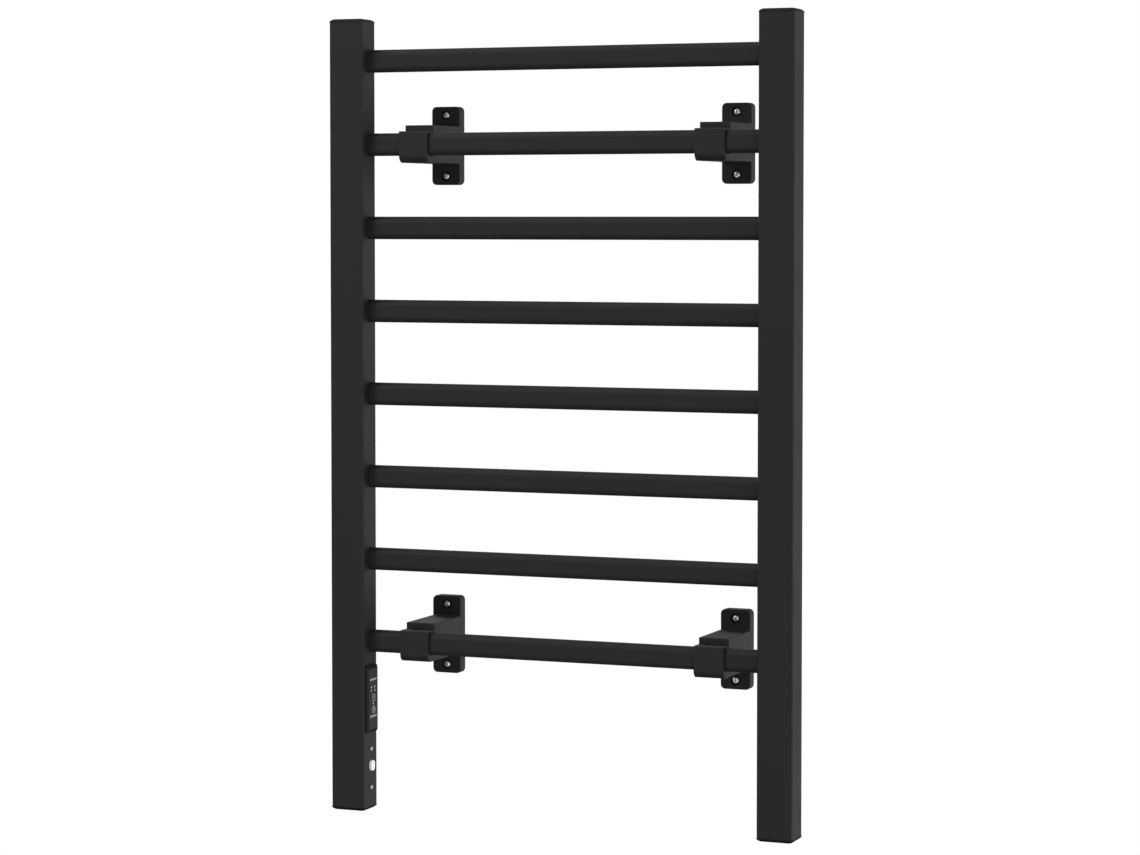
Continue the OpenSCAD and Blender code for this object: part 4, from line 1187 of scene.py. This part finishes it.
# %% Sizes of the inlet
inlet_low, inlet_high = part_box("inlet_body")
inlet_middle = Vector((post_face, (inlet_low.y + inlet_high.y) / 2,
                       (inlet_low.z + inlet_high.z) / 2))
lobe = (inlet_high.y - inlet_low.y) / 2
lobe_rise = (inlet_high.z - inlet_low.z) / 2 - lobe
lobe_step = 0.8 * mm
barrel_chamfer = 0.3 * mm
barrel_chamfer_long = 0.4 * mm
pin_hole_radius = 1.15 * mm
pin_hole_rim = 0.25 * mm
pin_hole_deep = 3 * mm
pin_rim_deep = 0.15 * mm
pin_rim_past = 0.1 * mm
pin_slip = 0.02 * mm
# The rounded front edge: how far each ring is drawn in, and how far behind the front it lies
front_edge = [(0, 0.7 * mm), (0.12 * mm, 0.3 * mm), (0.35 * mm, 0.08 * mm), (0.7 * mm, 0)]
pin_low, pin_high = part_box("inlet_pins")
pin_radius = (pin_high.y - pin_low.y) / 2
pin_rise = (pin_high.z - pin_low.z) / 2 - pin_radius
print("inlet:", round(2 * lobe / mm, 1), "by", round(2 * (lobe + lobe_rise) / mm, 1), "mm, pins",
      round(2 * pin_rise / mm, 1), "mm apart")


# %% The inlet
def two_lobes(radius, steps=14):
    """Outline of two circles, one above the other, where they meet at a waist."""
    waist = math.degrees(math.asin(min(1, lobe_rise / radius)))
    return (arc((0, lobe_rise), radius, -waist, 180 + waist, steps)[:-1]
            + arc((0, -lobe_rise), radius, 180 - waist, 360 + waist, steps)[:-1])


def on_inlet(u, v, height):
    return inlet_middle + Vector((height, u, v))


inlet_front = inlet_high.x - post_face
inlet_back = inlet_low.x - post_face
barrel = lobe - lobe_step
inlet_rings = [(two_lobes(barrel - barrel_chamfer), inlet_back),
               (two_lobes(barrel), inlet_back + barrel_chamfer_long),
               (two_lobes(barrel), 0), (two_lobes(lobe), 0)]
inlet_rings += [(two_lobes(lobe - drawn_in), inlet_front - behind)
                for drawn_in, behind in front_edge]
bm = bmesh.new()
loft(bm, inlet_rings, on_inlet)
inlet = new_piece("two_pin_inlet", bm)
print("rings of the inlet:", len(inlet_rings))

# %% The pin holes of the inlet
pin_holes = []
for end in (1, -1):
    bm = bmesh.new()
    turned(bm, [(pin_radius + pin_slip, inlet_back - past),
                (pin_radius + pin_slip, inlet_front - pin_hole_deep),
                (pin_hole_radius, inlet_front - pin_hole_deep),
                (pin_hole_radius, inlet_front - pin_rim_deep),
                (pin_hole_radius + pin_hole_rim, inlet_front + pin_rim_past),
                (pin_hole_radius + pin_hole_rim, inlet_front + past)],
           lambda u, v, x, end=end: on_inlet(u, v + end * pin_rise, x), steps=24)
    pin_holes.append(new_piece("pin_hole", bm))
carve(inlet, *pin_holes)
dress(inlet, inlet_white, "rack", "inlet_white", "inlet_body")

# %% The pins of the inlet
bm = bmesh.new()
pin_front = pin_high.x - post_face
for end in (1, -1):
    turned(bm, [(pin_radius * 0.8, inlet_back), (pin_radius, inlet_back + 0.2 * mm),
                (pin_radius, pin_front - 0.5 * mm), (pin_radius * 0.8, pin_front - 0.15 * mm),
                (pin_radius * 0.35, pin_front)],
           lambda u, v, x, end=end: on_inlet(u, v + end * pin_rise, x), steps=20)
dress(new_piece("inlet_pin_pair", bm), pin_brass, "rack", "pin_brass", "inlet_pins")

# %% [markdown]
# ## Parts that keep their CAD shape
# The posts, the bars, the marks on the module and the parts inside are right as they are.
# They only take a finish, which goes into their material slots.

# %% Finish the CAD parts
finish_of_slot = {
    "black_coat": black_coat, "black_casting": black_casting, "black_plastic": black_plastic,
    "face_plastic": face_plastic, "legend_grey": legend_grey, "light_guide": light_guide,
    "bright_steel": bright_steel, "bare_aluminium": bare_aluminium,
    "cable_silicone": cable_silicone, "cutout_ceramic": cutout_ceramic,
    "board_green": board_green, "switch_grey": switch_grey, "relay_blue": relay_blue,
    "terminal_green": terminal_green, "inlet_white": inlet_white, "pin_brass": pin_brass,
    "wire_brown": wire_brown, "pad_rubber": pad_rubber}
slot_of_node = {row["node"]: row["material_slot"] for row in frame["record"]["subparts"]}
for name, part in frame["nodes"].items():
    finish = finish_of_slot[slot_of_node[name]]
    if name in ("timer_mark", "power_mark"):
        finish = key_print
    for number in range(len(part.data.materials)):
        part.data.materials[number] = finish
shown = [name for name, part in frame["nodes"].items() if not part.hide_render]
print("CAD parts shown:", len(shown), "of", len(frame["nodes"]))

# %% [markdown]
# ## Finish
# The dressed rack has to keep the size of the CAD model, so its size is printed at the end, beside
# the size printed at the start.

# %% Print the size of the dressed rack
low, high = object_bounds()
print("visual model in mm:", [round(side / mm, 1) for side in high - low])
